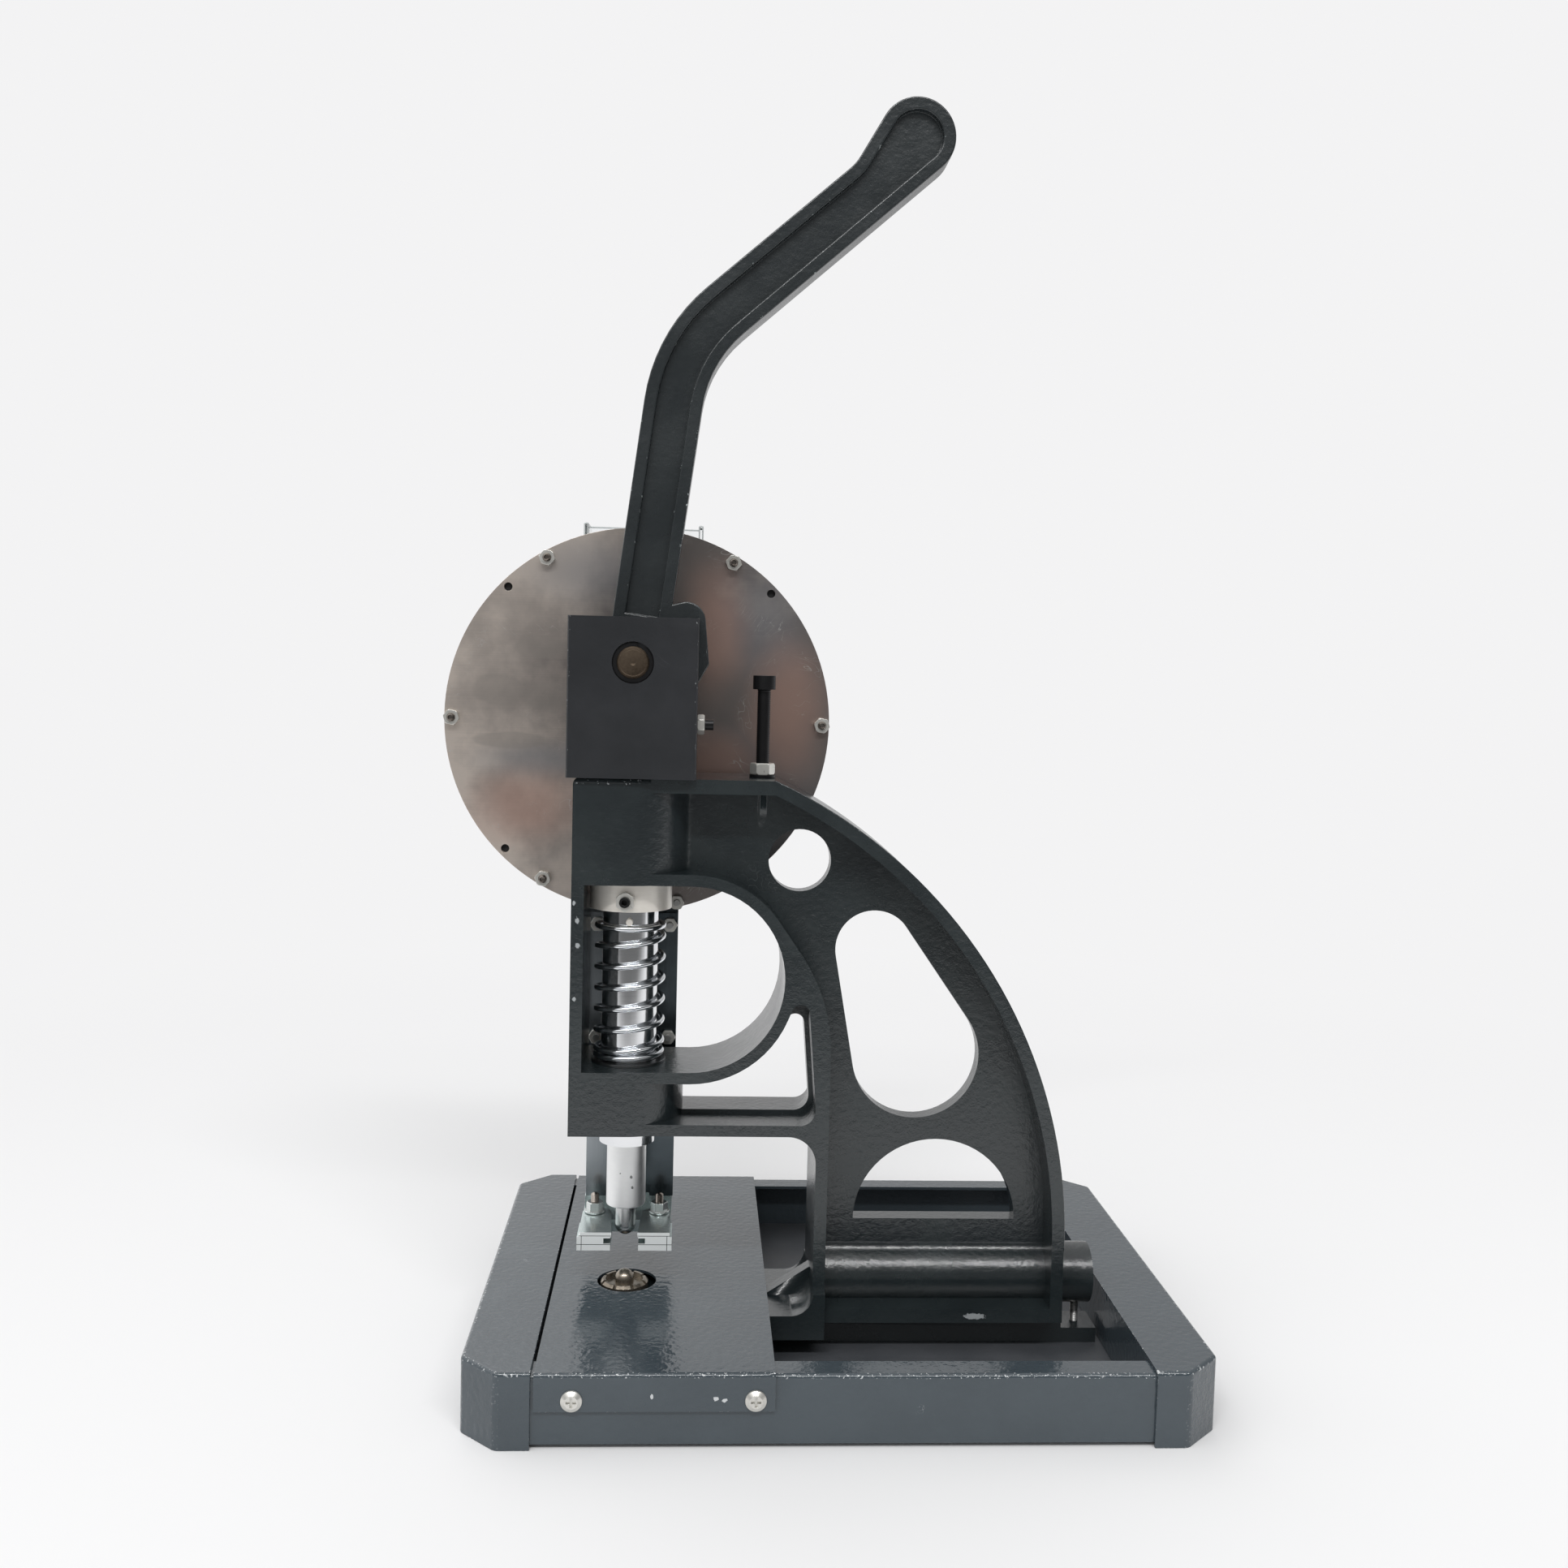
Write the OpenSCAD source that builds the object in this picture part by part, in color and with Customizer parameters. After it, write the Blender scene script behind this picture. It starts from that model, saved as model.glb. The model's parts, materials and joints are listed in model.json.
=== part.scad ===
// Hand-lever eyelet press: a cast frame on a sheet-metal base, with an eyelet hopper behind the head.
// X runs along the base, the die end at -X. Y runs away from the operator's side. Z is up from the floor.
// The origin is under the middle of the whole machine, and the base lies a little towards +X of it.

/* [Base] */
// Length of the base along X
base_l = 400; // [380:1:480]
// Width of the base along Y
base_w = 310; // [290:1:360]
// Height of the end caps
cap_h = 41; // [40:1:60]
// Length of each end cap along X
cap_l = 38; // [30:1:42]
// Size of the chamfer on each vertical corner
corner_cut = 20; // [8:1:26]
// Thickness of the folded sheet
sheet_t = 2; // [1.5:0.1:2.5]
// Height of the rails off the floor
rail_lift = 2.5; // [2:0.1:4]
// Width of the rails' top and bottom flanges
rail_flange = 16; // [12:1:22]
// Thickness of the floor plate that carries the frame
floor_t = 3; // [2:0.5:4]
// Length of the table plate along X
table_l = 123.5; // [118:0.5:140]
// Gap between the left end cap and the table plate
table_gap = 1.6; // [0.5:0.1:2.4]
// Thickness of the table plate
table_t = 1.5; // [1:0.1:1.9]
// Depth of the table plate's folded skirts
skirt_h = 20; // [14:1:26]
// Diameter of the table hole round the die
table_hole_d = 34.4; // [32:0.1:38]
// Offset of the table hole from the die along X
hole_shift_x = 1.5; // [0:0.1:1.5]
// Offset of the table hole from the die along Y
hole_shift_y = -1.5; // [-1.5:0.1:0]

/* [Place of the ram] */
// Distance from the base's left-hand end to the ram axis
ram_in = 80; // [78:1:84]
// Ram axis along Y
ram_y = -32; // [-36:1:-28]

/* [Frame casting] */
// Depth of the frame's flanges along Y
flange_y = 60; // [54:1:62]
// Thickness of the web
web_t = 12; // [9:1:16]
// Thickness of the arch flange
rim_t = 7.5; // [5:0.5:10]
// Diameter of the two bosses that guide the ram
boss_d = 64; // [62:1:68]
// Height of the frame's top face
frame_top = 338; // [334:1:342]
// Height of the upper boss's lower face
window_top = 278; // [276:1:282]
// Height of the ram window's floor
window_floor = 172; // [168:1:174]
// Height of the lower boss's lower face
boss_low = 135.5; // [134:0.5:140]
// Thickness of the strap beside the ram window
strap_t = 7; // [5:0.5:8]
// Distance from the ram axis to the middle of the round throat
ring_x = 35.5; // [33:0.5:38]
// Thickness of the band round the throat
ring_t = 6.5; // [5:0.5:8]
// Distance from the ram axis to the column's inner face
throat = 108.5; // [106:0.5:114]
// Thickness of the column's flange
column_t = 7; // [5:0.5:9]
// Radius of the arch's outer face
arch_r = 292; // [288:1:296]
// Distance from the ram axis to the end of the frame's flat top
crest_x = 81.3; // [78:0.1:84]
// Gap between the casting's rear end and the right-hand end cap
rear_gap = 3; // [1:0.5:8]
// Thickness of the strut between the lower boss and the column
strut_t = 6.5; // [5:0.5:8]
// Height of the foot flange's lower face
foot_z = 27; // [24:1:28]
// Thickness of the foot flange
foot_t = 8; // [6:0.5:9]
// Diameter of the round bar along the foot
foot_bar_d = 35; // [30:1:38]
// Height of the round bar's axis
foot_bar_z = 46; // [44:1:48]
// Height of the lower arm's top face
arm_top = 33; // [31:1:34]
// Width of the lower arm along Y
arm_y = 70; // [60:1:76]
// Radius of the casting's blends into the web
blend_r = 6; // [3:0.5:8]
// Height of the web's lip round the three-cornered window
web_lip = 2.5; // [1:0.5:4]

/* [Lightening holes] */
// Diameter of the round hole near the top
round_hole_d = 36; // [30:1:38]
// Radius of the long hole's upper end
long_hole_r1 = 22.7; // [19:0.1:24]
// Radius of the long hole's lower end
long_hole_r2 = 37.2; // [33:0.1:39]
// Radius of the half-round hole
half_hole_r = 47.8; // [42:0.1:50]

/* [Head] */
// Side of the square head block
head_w = 72; // [70:1:76]
// Height of the head block
head_h = 89; // [86:1:96]
// Height of the lever's pivot above the frame's top face
pivot_up = 64; // [63:0.5:66]
// Diameter of the pivot pin
pivot_d = 18; // [16:0.5:18]
// Diameter of the recess round the pivot pin's ends
pivot_recess_d = 23.2; // [22:0.1:25]
// Depth of that recess
pivot_recess = 2.5; // [1.5:0.1:3]
// Diameter of the spigot that the head block sits on
spigot_d = 56; // [54:1:58]
// Height of the spigot
spigot_h = 36; // [34:1:37]

/* [Lever] */
// Thickness of the lever
lever_t = 22; // [18:0.5:23]
// Width of the lever arm
lever_w = 32.6; // [28:0.1:33]
// Width of the raised rim round the lever's channels
lever_rim = 7; // [4:0.5:9]
// Depth of the channels
channel_depth = 4.5; // [2:0.5:6]
// Angle of the lower arm at rest
lower_angle = 82.6; // [80:0.1:84]
// Angle of the upper arm at rest
upper_angle = 41; // [36:0.5:50]
// Length from the pivot to the elbow
lower_len = 177.6; // [160:0.1:190]
// Length from the elbow to the grip's centre
upper_len = 176; // [150:1:200]
// Radius of the bend along the lever's middle line
elbow_r = 83.5; // [60:0.5:95]
// Radius of the round grip end
grip_r = 21.5; // [18:0.5:25]
// Offset of the grip end from the upper arm's middle line
grip_shift = 6; // [3:0.5:8]
// Angle that the lever is pulled through
pull_angle = 73; // [70:0.5:73]

/* [Crank and link] */
// Radius from the pivot to the crank pin
crank_r = 32; // [31:0.5:32.5]
// Diameter of the crank pin and of the link pin
link_pin_d = 10; // [8:0.5:10]
// Length of the link between its pins
link_l = 66; // [65:0.5:68]
// Thickness of the link
link_t = 12; // [10:0.5:12]
// Width of the link's shank
link_w = 10; // [8:0.5:10]
// Diameter of the link's eyes
eye_d = 17; // [15:0.5:17]

/* [Ram] */
// Diameter of the ram
ram_d = 32; // [30:0.5:33]
// Height of the ram's lower face at rest
ram_low = 124.5; // [122:0.5:128]
// Outer diameter of the shaft collar
collar_d = 47; // [44:0.5:50]
// Height of the shaft collar
collar_h = 16; // [12:0.5:18]
// Diameter of the set screws' threads
set_screw_d = 6; // [5:0.5:8]
// Mean diameter of the return spring
spring_d = 38; // [37.4:0.1:40]
// Wire diameter of the return spring
spring_wire = 3.2; // [2.6:0.1:3.3]
// Open turns of the return spring
spring_turns = 5.8; // [4:0.1:6.4]
// Thickness of the spring's seat washer
seat_t = 1.6; // [1:0.1:2.5]

/* [Punch and die] */
// Outer diameter of the punch sleeve
sleeve_d = 22.8; // [21:0.1:23.2]
// Length of the punch sleeve below the ram
sleeve_l = 38; // [36:0.5:39]
// Diameter of the pilot pin
pilot_d = 12; // [9:0.5:12]
// Length of the pilot pin below the sleeve
pilot_out = 18.5; // [16:0.5:19]
// How far the pilot pin is pushed back at the end of the stroke
pilot_back = 17.3; // [17:0.1:18.2]
// Outer diameter of the die
die_d = 27.8; // [26:0.1:29]
// Height of the die's top face
die_top = 41.2; // [40.8:0.1:42]
// Diameter of the die's round nose
nose_d = 11; // [8:0.1:11.4]
// Diameter of the die's shank
die_shank_d = 16; // [12:0.5:18]
// Number of petals round the die's mouth
die_petals = 8; // [6:1:10]

/* [Feeder] */
// Offset of the hopper and chute from the ram axis
feed_shift = 0.5; // [0:0.1:1.5]
// Diameter of the hopper's discs
disc_d = 230; // [225:1:236]
// Height of the hopper's centre
disc_z = 367.2; // [366:0.1:372]
// Thickness of the steel disc
disc_t = 2.5; // [2:0.1:3]
// Distance from the head block's back face to the steel disc
disc_gap = 6; // [5:0.5:8]
// Depth of the drum
drum_depth = 32; // [26:1:40]
// Distance from the disc's edge to the drum wall
drum_in = 11; // [10:0.5:15]
// Thickness of the drum wall
drum_t = 3; // [2:0.5:4]
// Thickness of the clear cover
cover_t = 4; // [3:0.5:5]
// Distance from the disc's edge to the rim screws' centres
rim_screw_in = 4.5; // [4:0.5:6]
// Width of the clear filler box
filler_w = 74; // [60:1:80]
// Depth of the filler box along Y
filler_y = 30; // [24:1:40]
// Height of the filler box's top edge
filler_top = 488; // [485:1:495]
// Height of the filler box
filler_h = 96; // [80:1:110]
// Wall of the filler box
filler_t = 3; // [2:0.5:4]
// Width of the eyelet chute
chute_w = 53; // [50:1:56]
// Width of the channel that the eyelets slide down
channel_w = 25; // [23:0.5:26]
// Height of the chute's lower end
chute_low = 76; // [75:1:80]
// Half of the gap between the jaws
jaw_gap = 7.5; // [6.5:0.1:8]
// Half of the distance between the jaw pivots
jaw_pivot_x = 19.2; // [18.5:0.1:20]
// Distance of the jaw pivots behind the ram axis
jaw_pivot_y = 22.2; // [21:0.1:24]
// Length of the jaws in front of their pivots
jaw_len = 34.9; // [34:0.1:38]
// Height of the jaws' top face
jaw_top = 73; // [73:0.5:74]
// Thickness of the jaw plates
jaw_t = 2.5; // [1.5:0.1:3]
// Height of the rails under the jaw plates
jaw_rail_h = 8; // [6:0.5:8.5]

/* [Hidden] */
$fn = 48;
arc_step = 6;      // degrees between the points of a rounded corner
arc_chord = 9;     // longest straight piece in a wide arc
run_fit = 0.05;    // radial clearance of a running fit
slide_gap = 0.4;   // clearance beside a moving flat face
screw_play = 0.2;  // how much wider a screw's hole is than the screw
seat_gap = 0.3;    // between a piece and the round face that it stands on
eps = 0.01;

// Outline helpers
function xy(p) = [p[0], p[1]];
function unit(v) = v / norm(v);
function polar(c, r, a) = c + r * [cos(a), sin(a)];
function arc_pts(c, r, a0, a1) =
    let (n = max(2, ceil(abs(a1 - a0) / min(arc_step, 2 * asin(arc_chord / 2 / max(r, arc_chord))))))
    [for (i = [0:n]) polar(c, r, a0 + (a1 - a0) * i / n)];
function short_turn(d) = d > 180 ? d - 360 : d < -180 ? d + 360 : d;
function corner_arc(a, b, c, r) =
    r == 0 ? [b] :
    let (u = unit(a - b), v = unit(c - b),
         half = acos(u * v) / 2,
         centre = b + unit(u + v) * (r / sin(half)),
         p = b + u * (r / tan(half)) - centre,
         q = b + v * (r / tan(half)) - centre,
         a0 = atan2(p[1], p[0]))
    arc_pts(centre, r, a0, a0 + short_turn(atan2(q[1], q[0]) - a0));
function rounded(pts) =
    let (n = len(pts))
    [for (i = [0:n - 1]) each corner_arc(xy(pts[(i + n - 1) % n]), xy(pts[i]), xy(pts[(i + 1) % n]), pts[i][2])];
function line_meet(p, a, q, b) =
    let (d = q - p, cross_ab = cos(a) * sin(b) - sin(a) * cos(b))
    p + (d[0] * sin(b) - d[1] * cos(b)) / cross_ab * [cos(a), sin(a)];
function along(a, d, s) = d * [cos(a), sin(a)] + s * [-sin(a), cos(a)];

// Extrudes an outline in X and Z from y0 to y1
module slab_y(y0, y1) {
    translate([0, y1, 0])
        rotate([90, 0, 0])
            linear_extrude(y1 - y0)
                children();
}
module bar_y(x, z, r, y0, y1) {
    translate([x, y1, z])
        rotate([90, 0, 0])
            cylinder(r = r, h = y1 - y0);
}
module bar_x(y, z, r, x0, x1) {
    translate([x0, y, z])
        rotate([0, 90, 0])
            cylinder(r = r, h = x1 - x0);
}
module box(lo, hi) {
    translate(lo)
        cube(hi - lo);
}
module hex_z(across, h) {
    cylinder(d = across / cos(30), h = h, $fn = 6);
}
module at_base() {
    translate([base_x, 0, 0])
        children();
}
module at_ram() {
    translate([base_x + ram_x, ram_y, 0])
        children();
}
module at_feed() {
    translate([base_x + ram_x + feed_shift, ram_y, 0])
        children();
}
module at_both_sides() {
    for (m = [0, 1])
        mirror([0, m, 0])
            children();
}

// Base
ram_x = ram_in - base_l / 2;
rim_screw_r = disc_d / 2 - rim_screw_in;
rim_nut_af = 8.6;
rim_nut_turn = 12;
feeder_reach = rim_screw_r + rim_nut_af / 2 / cos(30) * cos(rim_nut_turn) - ram_x - feed_shift;
base_x = round((feeder_reach - base_l / 2) * 50) / 100;
cap_inner_x = base_l / 2 - cap_l;
rail_top = cap_h - sheet_t;
rail_y = base_w / 2 - sheet_t;
rail_end = base_l / 2 - corner_cut - sheet_t;
floor_z = rail_lift + sheet_t;
floor_top = floor_z + floor_t;
table_x0 = -cap_inner_x + table_gap;
table_x1 = table_x0 + table_l;
table_top = rail_top + table_t;
pan_d = 11;
pan_h = 2.6;
pan_shank_d = 5;
pan_shank_l = 9;
table_screw_z = table_top - skirt_h + 6;
table_screw_edge = 10;   // from the skirt's end to the right-hand screw
table_screw_left = 19.4; // from the skirt's end to the left-hand screw

module cap_outline(inset) {
    l = base_l / 2 - inset;
    w = base_w / 2 - inset;
    c = corner_cut - inset * (2 - sqrt(2));
    polygon([[0, -w], [l - c, -w], [l, -w + c], [l, w - c], [l - c, w], [0, w]]);
}
module base_cap() {
    difference() {
        linear_extrude(cap_h)
            cap_outline(0);
        translate([0, 0, -1])
            linear_extrude(cap_h - sheet_t + 1)
                cap_outline(sheet_t);
        box([-1, -base_w, -1], [cap_inner_x, base_w, cap_h + 1]);
    }
    // Inner wall between the rails
    box([cap_inner_x, rail_flange - rail_y, floor_top],
        [cap_inner_x + sheet_t, rail_y - rail_flange, cap_h - sheet_t + eps]);
}
module base_cap_left() {
    color("#5b646b")
        at_base()
            mirror([1, 0, 0])
                base_cap();
}
module base_cap_right() {
    color("#5b646b")
        at_base()
            base_cap();
}
// A channel section with its web outwards
module base_rail() {
    difference() {
        box([-rail_end, rail_y - rail_flange, rail_lift], [rail_end, rail_y, rail_top]);
        box([-rail_end - 1, rail_y - rail_flange - 1, rail_lift + sheet_t],
            [rail_end + 1, rail_y - sheet_t, rail_top - sheet_t]);
        for (x = table_screw_xs)
            bar_y(x, table_screw_z, pan_shank_d / 2, rail_y - sheet_t - 1, rail_y + 1);
    }
}
table_screw_xs = [table_x0 + table_screw_left, table_x1 - table_screw_edge];
module base_rail_front() {
    color("#525b62")
        at_base()
            mirror([0, 1, 0])
                base_rail();
}
module base_rail_back() {
    color("#525b62")
        at_base()
            base_rail();
}
module base_floor() {
    color("#24282b")
        difference() {
            at_base()
                box([-rail_end, -rail_y + sheet_t, floor_z], [rail_end, rail_y - sheet_t, floor_top]);
            bed_bolt_places()
                cylinder(d = bed_bolt_d, h = floor_top * 2);
        }
}
module table_plate() {
    color("#6a7379")
        at_base()
            difference() {
                box([table_x0, -base_w / 2, table_top - skirt_h], [table_x1, base_w / 2, table_top]);
                box([table_x0 - 1, -rail_y, table_top - skirt_h - 1], [table_x1 + 1, rail_y, rail_top]);
                translate([ram_x + hole_shift_x, ram_y + hole_shift_y, rail_top - 1])
                    cylinder(d = table_hole_d, h = table_t + 2);
                for (x = table_screw_xs)
                    bar_y(x, table_screw_z, pan_shank_d / 2, -base_w, base_w);
            }
}
// A pan-head screw with a cross recess, head towards +Z and its seat at z = 0
module pan_screw() {
    difference() {
        union() {
            cylinder(d = pan_d, h = pan_h * 0.45);
            translate([0, 0, pan_h * 0.45])
                cylinder(d1 = pan_d, d2 = pan_d * 0.62, h = pan_h * 0.55);
        }
        for (a = [0, 90])
            rotate([0, 0, a])
                translate([-2.6, -0.6, pan_h - 1.3])
                    cube([5.2, 1.2, 2]);
    }
    translate([0, 0, -pan_shank_l])
        cylinder(d = pan_shank_d, h = pan_shank_l + eps);
}
module table_screws() {
    color("#cfccc0")
        at_base()
            at_both_sides()
                for (x = table_screw_xs)
                    translate([x, base_w / 2, table_screw_z])
                        rotate([-90, 0, 0])
                            pan_screw();
}

// Frame casting, drawn with its origin on the ram axis
boss_r = boss_d / 2;
half_y = flange_y / 2;
ring_r = (window_top - window_floor) / 2;
ring_z = (window_top + window_floor) / 2;
ring_out = ring_r + ring_t;
lug_end = base_l / 2 - cap_l - rear_gap - ram_x;
bar_end = lug_end - 4;
foot_reach = bar_end - 21;
arch_x = foot_reach - arch_r;
arch_z = frame_top - sqrt(arch_r * arch_r - pow(crest_x - arch_x, 2));
arch_c = [arch_x, arch_z];
arch_in = arch_r - rim_t;
top_flange_t = 8;
ridge_x = throat + column_t;
corner_r = 16;
bed_y = 24;
bed_end = foot_reach + 4;
bed_bolt_d = 8;
bed_bolt_l = 14;
bed_bolt_head = 3.2;
bed_bolt_af = 13;
bed_bolt_near = 70;
bed_bolt_far = 30;
bed_bolt_xs = [throat - bed_bolt_near, bed_end - bed_bolt_far];
lug_z = 16.3;
rear_screw_x = bar_end - 6.5;
rear_screw_d = 5;
gusset_l = 28.5;
gusset_h = 18;
arm_corner_r = 12.5;
round_hole_c = inside_arch(round_hole_d / 2 + 9, frame_top - 47);
long_hole_c1 = inside_arch(long_hole_r1 + 15.9, frame_top - 98.2);
long_hole_c2 = inside_arch(long_hole_r2 + 16.2, frame_top - 160.3);
half_hole_c = [arch_x + arch_in - half_hole_r - 17.7, foot_bar_z + 34];
stop_x = crest_x - 7.3;
stop_boss_d = 13.4;
stop_boss_l = 30;
stop_screw_d = 8;
window_tip_r = 5.2;
rib_t = 10;

module bed_bolt_places() {
    at_ram()
        for (x = bed_bolt_xs)
            translate([x, 0, 0])
                children();
}
function arch_angle(r, z) = asin((z - arch_z) / r);
function inside_arch(depth, z) = [arch_x + sqrt(pow(arch_in - depth, 2) - pow(z - arch_z, 2)), z];
frame_outline = concat(
    [[-boss_r, boss_low]],
    corner_arc([0, boss_low], [throat, boss_low], [throat, foot_z], corner_r),
    [[throat, foot_z], [arch_x + arch_r, foot_z]],
    arc_pts(arch_c, arch_r, 0, arch_angle(arch_r, frame_top)),
    [[-boss_r, frame_top]]);
// The round throat and the ram window, one opening
throat_outline = concat(
    [[strap_t - boss_r, window_floor]],
    arc_pts([ring_x, ring_z], ring_r, -90, 90),
    [[strap_t - boss_r, window_top]]);
// The three-cornered window between the throat's band, the strut and the column
strut_top = boss_low + strut_t;
tip_angle = -22;
column_lean = 94.9;
function window_outline(inset) =
    let (c = [ring_x, ring_z],
         r = ring_out + inset,
         foot = [throat - inset, strut_top + inset],
         tip = line_meet(polar(c, r, tip_angle), 90 + tip_angle, foot, column_lean))
    concat(
        [[inset, strut_top + inset]],
        corner_arc([0, strut_top + inset], foot, tip, 9),
        corner_arc(foot, tip, polar(c, r, tip_angle), window_tip_r),
        arc_pts(c, r, tip_angle, -90),
        [[inset, ring_z - r]]);
// The recess on each side of the web
ridge_angle = 35;
ridge_point = line_meet(polar([ring_x, ring_z], ring_out, ridge_angle), ridge_angle - 90, [ridge_x, 0], 90);
pocket_outline = concat(
    [[ridge_x, foot_z + foot_t], [arch_x + arch_in, foot_z + foot_t]],
    arc_pts(arch_c, arch_in, 0, arch_angle(arch_in, frame_top - top_flange_t)),
    [[0, frame_top - top_flange_t], [0, ring_z + ring_out]],
    arc_pts([ring_x, ring_z], ring_out, 90, ridge_angle),
    corner_arc(polar([ring_x, ring_z], ring_out, ridge_angle), ridge_point, [ridge_x, foot_z], 100));
hole_dir = long_hole_c2 - long_hole_c1;
hole_swing = asin((long_hole_r2 - long_hole_r1) / norm(hole_dir));
hole_a = atan2(hole_dir[1], hole_dir[0]);
long_hole_outline = concat(
    arc_pts(long_hole_c1, long_hole_r1, hole_a + 90 + hole_swing, hole_a + 270 - hole_swing),
    arc_pts(long_hole_c2, long_hole_r2, hole_a - 90 - hole_swing, hole_a + 90 + hole_swing));

module web_holes() {
    bar_y(round_hole_c[0], round_hole_c[1], round_hole_d / 2, -half_y, half_y);
    slab_y(-half_y, half_y)
        polygon(long_hole_outline);
    slab_y(-half_y, half_y)
        polygon(arc_pts(half_hole_c, half_hole_r, 0, 180));
}
// The corner between a round bar of radius r and the web, filled by a blend; the web runs along X
function blend_outline(r) =
    let (c = [sqrt(pow(r + blend_r, 2) - pow(web_t / 2 + blend_r, 2)), web_t / 2 + blend_r],
         a = atan2(c[1], c[0]))
    concat(arc_pts(c, blend_r, 180 + a, 270), [[c[0], 0], [r * cos(a) / 2, 0]]);
module web_blend(r, h) {
    linear_extrude(h)
        at_both_sides()
            polygon(blend_outline(r));
}
module ram_boss(z0, z1) {
    translate([0, 0, z0])
        cylinder(r = boss_r, h = z1 - z0);
    box([-boss_r, -boss_r, z0], [0, boss_r, z1]);
}
module frame_body() {
    difference() {
        slab_y(-half_y, half_y)
            polygon(frame_outline);
        for (s = [-1, 1])
            slab_y(s > 0 ? web_t / 2 : -half_y - 1, s > 0 ? half_y + 1 : -web_t / 2)
                polygon(pocket_outline);
        slab_y(-half_y - 1, half_y + 1)
            polygon(throat_outline);
        for (s = [-1, 1])
            slab_y(s > 0 ? web_t / 2 : -half_y - 1, s > 0 ? half_y + 1 : -web_t / 2)
                polygon(window_outline(0));
        slab_y(-half_y - 1, half_y + 1)
            polygon(window_outline(web_lip));
        web_holes();
    }
    box([-boss_r, -boss_r, window_floor - 1], [strap_t - boss_r, boss_r, window_top + 1]);
    ram_boss(window_top, frame_top);
    ram_boss(boss_low, window_floor);
    translate([0, 0, ring_z + ring_out - 1])
        web_blend(boss_r, frame_top - top_flange_t - ring_z - ring_out + 2);
    // Bar along the foot and its end past the arch
    bar_x(0, foot_bar_z, foot_bar_d / 2, throat, bar_end);
    translate([throat + 1, 0, foot_bar_z])
        rotate([0, -90, 180])
            web_blend(foot_bar_d / 2, arch_x + arch_in - throat);
    // Boss for the stop screw
    translate([stop_x, 0, frame_top - stop_boss_l + stop_boss_d / 2])
        cylinder(d = stop_boss_d, h = stop_boss_l - stop_boss_d / 2);
    translate([stop_x, 0, frame_top - stop_boss_l])
        cylinder(d1 = web_t, d2 = stop_boss_d, h = stop_boss_d / 2 + eps);
    // Lower arm with its round corner, bed, lug and corner rib
    slab_y(-arm_y / 2, arm_y / 2)
        polygon(concat(
            [[-boss_r - 3, foot_z - 8], [throat + column_t, foot_z - 8], [throat + column_t, arm_top + arm_corner_r]],
            corner_arc([throat, frame_top], [throat, arm_top], [0, arm_top], arm_corner_r),
            [[-boss_r - 3, arm_top]]));
    box([-boss_r - 3, -bed_y / 2, floor_top], [bed_end, bed_y / 2, foot_z + 3]);
    box([bed_end - 5, -bed_y / 2, floor_top], [lug_end, bed_y / 2, lug_z]);
    slab_y(-rib_t / 2, rib_t / 2)
        polygon([[throat - gusset_l, arm_top - 1], [throat + 1, arm_top - 1], [throat + 1, arm_top + gusset_h]]);
    // Spigot under the head block
    translate([0, 0, frame_top - 1])
        cylinder(d = spigot_d, h = spigot_h + 1);
}
module frame_casting() {
    color("#343c3e")
        at_ram()
            difference() {
                frame_body();
                translate([0, 0, boss_low - 1])
                    cylinder(r = ram_d / 2 + run_fit, h = frame_top + spigot_h - boss_low + 2);
                head_slot();
                die_bore();
                translate([stop_x, 0, frame_top - stop_boss_l + 4])
                    cylinder(d = stop_screw_d + screw_play, h = stop_boss_l);
                for (x = bed_bolt_xs)
                    translate([x, 0, floor_z])
                        cylinder(d = bed_bolt_d + screw_play, h = floor_t + bed_bolt_l + screw_play);
                translate([rear_screw_x, 0, floor_top])
                    cylinder(d = rear_screw_d + screw_play, h = foot_bar_z - floor_top + screw_play);
                head_lock_hole();
            }
}
module bed_bolts() {
    color("#2b2b2b")
        bed_bolt_places() {
            translate([0, 0, floor_z - eps])
                cylinder(d = bed_bolt_d, h = floor_t + bed_bolt_l);
            translate([0, 0, floor_z - bed_bolt_head])
                hex_z(bed_bolt_af, bed_bolt_head);
        }
}
module rear_screw() {
    color("#8b8f92")
        at_ram()
            translate([rear_screw_x, 0, floor_top + 1])
                cylinder(d = rear_screw_d, h = foot_bar_z - floor_top - 1);
}

// Head
pivot_z = frame_top + pivot_up;
head_r = head_w / 2;
lever_half = lever_t / 2;
slot_y = lever_half + slide_gap;
hub_r = pivot_d / 2 + 8.5;
heel_reach = 43.8;
wall_t = 8;
wall_drop = 35;
link_slot_y = link_t / 2 + slide_gap;
crank_angle = pull_angle / 2;
stroke = 2 * crank_r * sin(crank_angle);
crank_low = crank_r * cos(crank_angle);
link_side = (crank_r + crank_low) / 2;
link_angle = asin(link_side / link_l);
crank_pos = [crank_low, pivot_z + stroke / 2];
link_low = crank_pos - link_l * [sin(link_angle), cos(link_angle)];
ram_top = link_low[1] + eye_d / 2 + 0.8;
lock_y = -22;
lock_z = 30.4;
nut_af = 10;
nut_t = 4;

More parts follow.
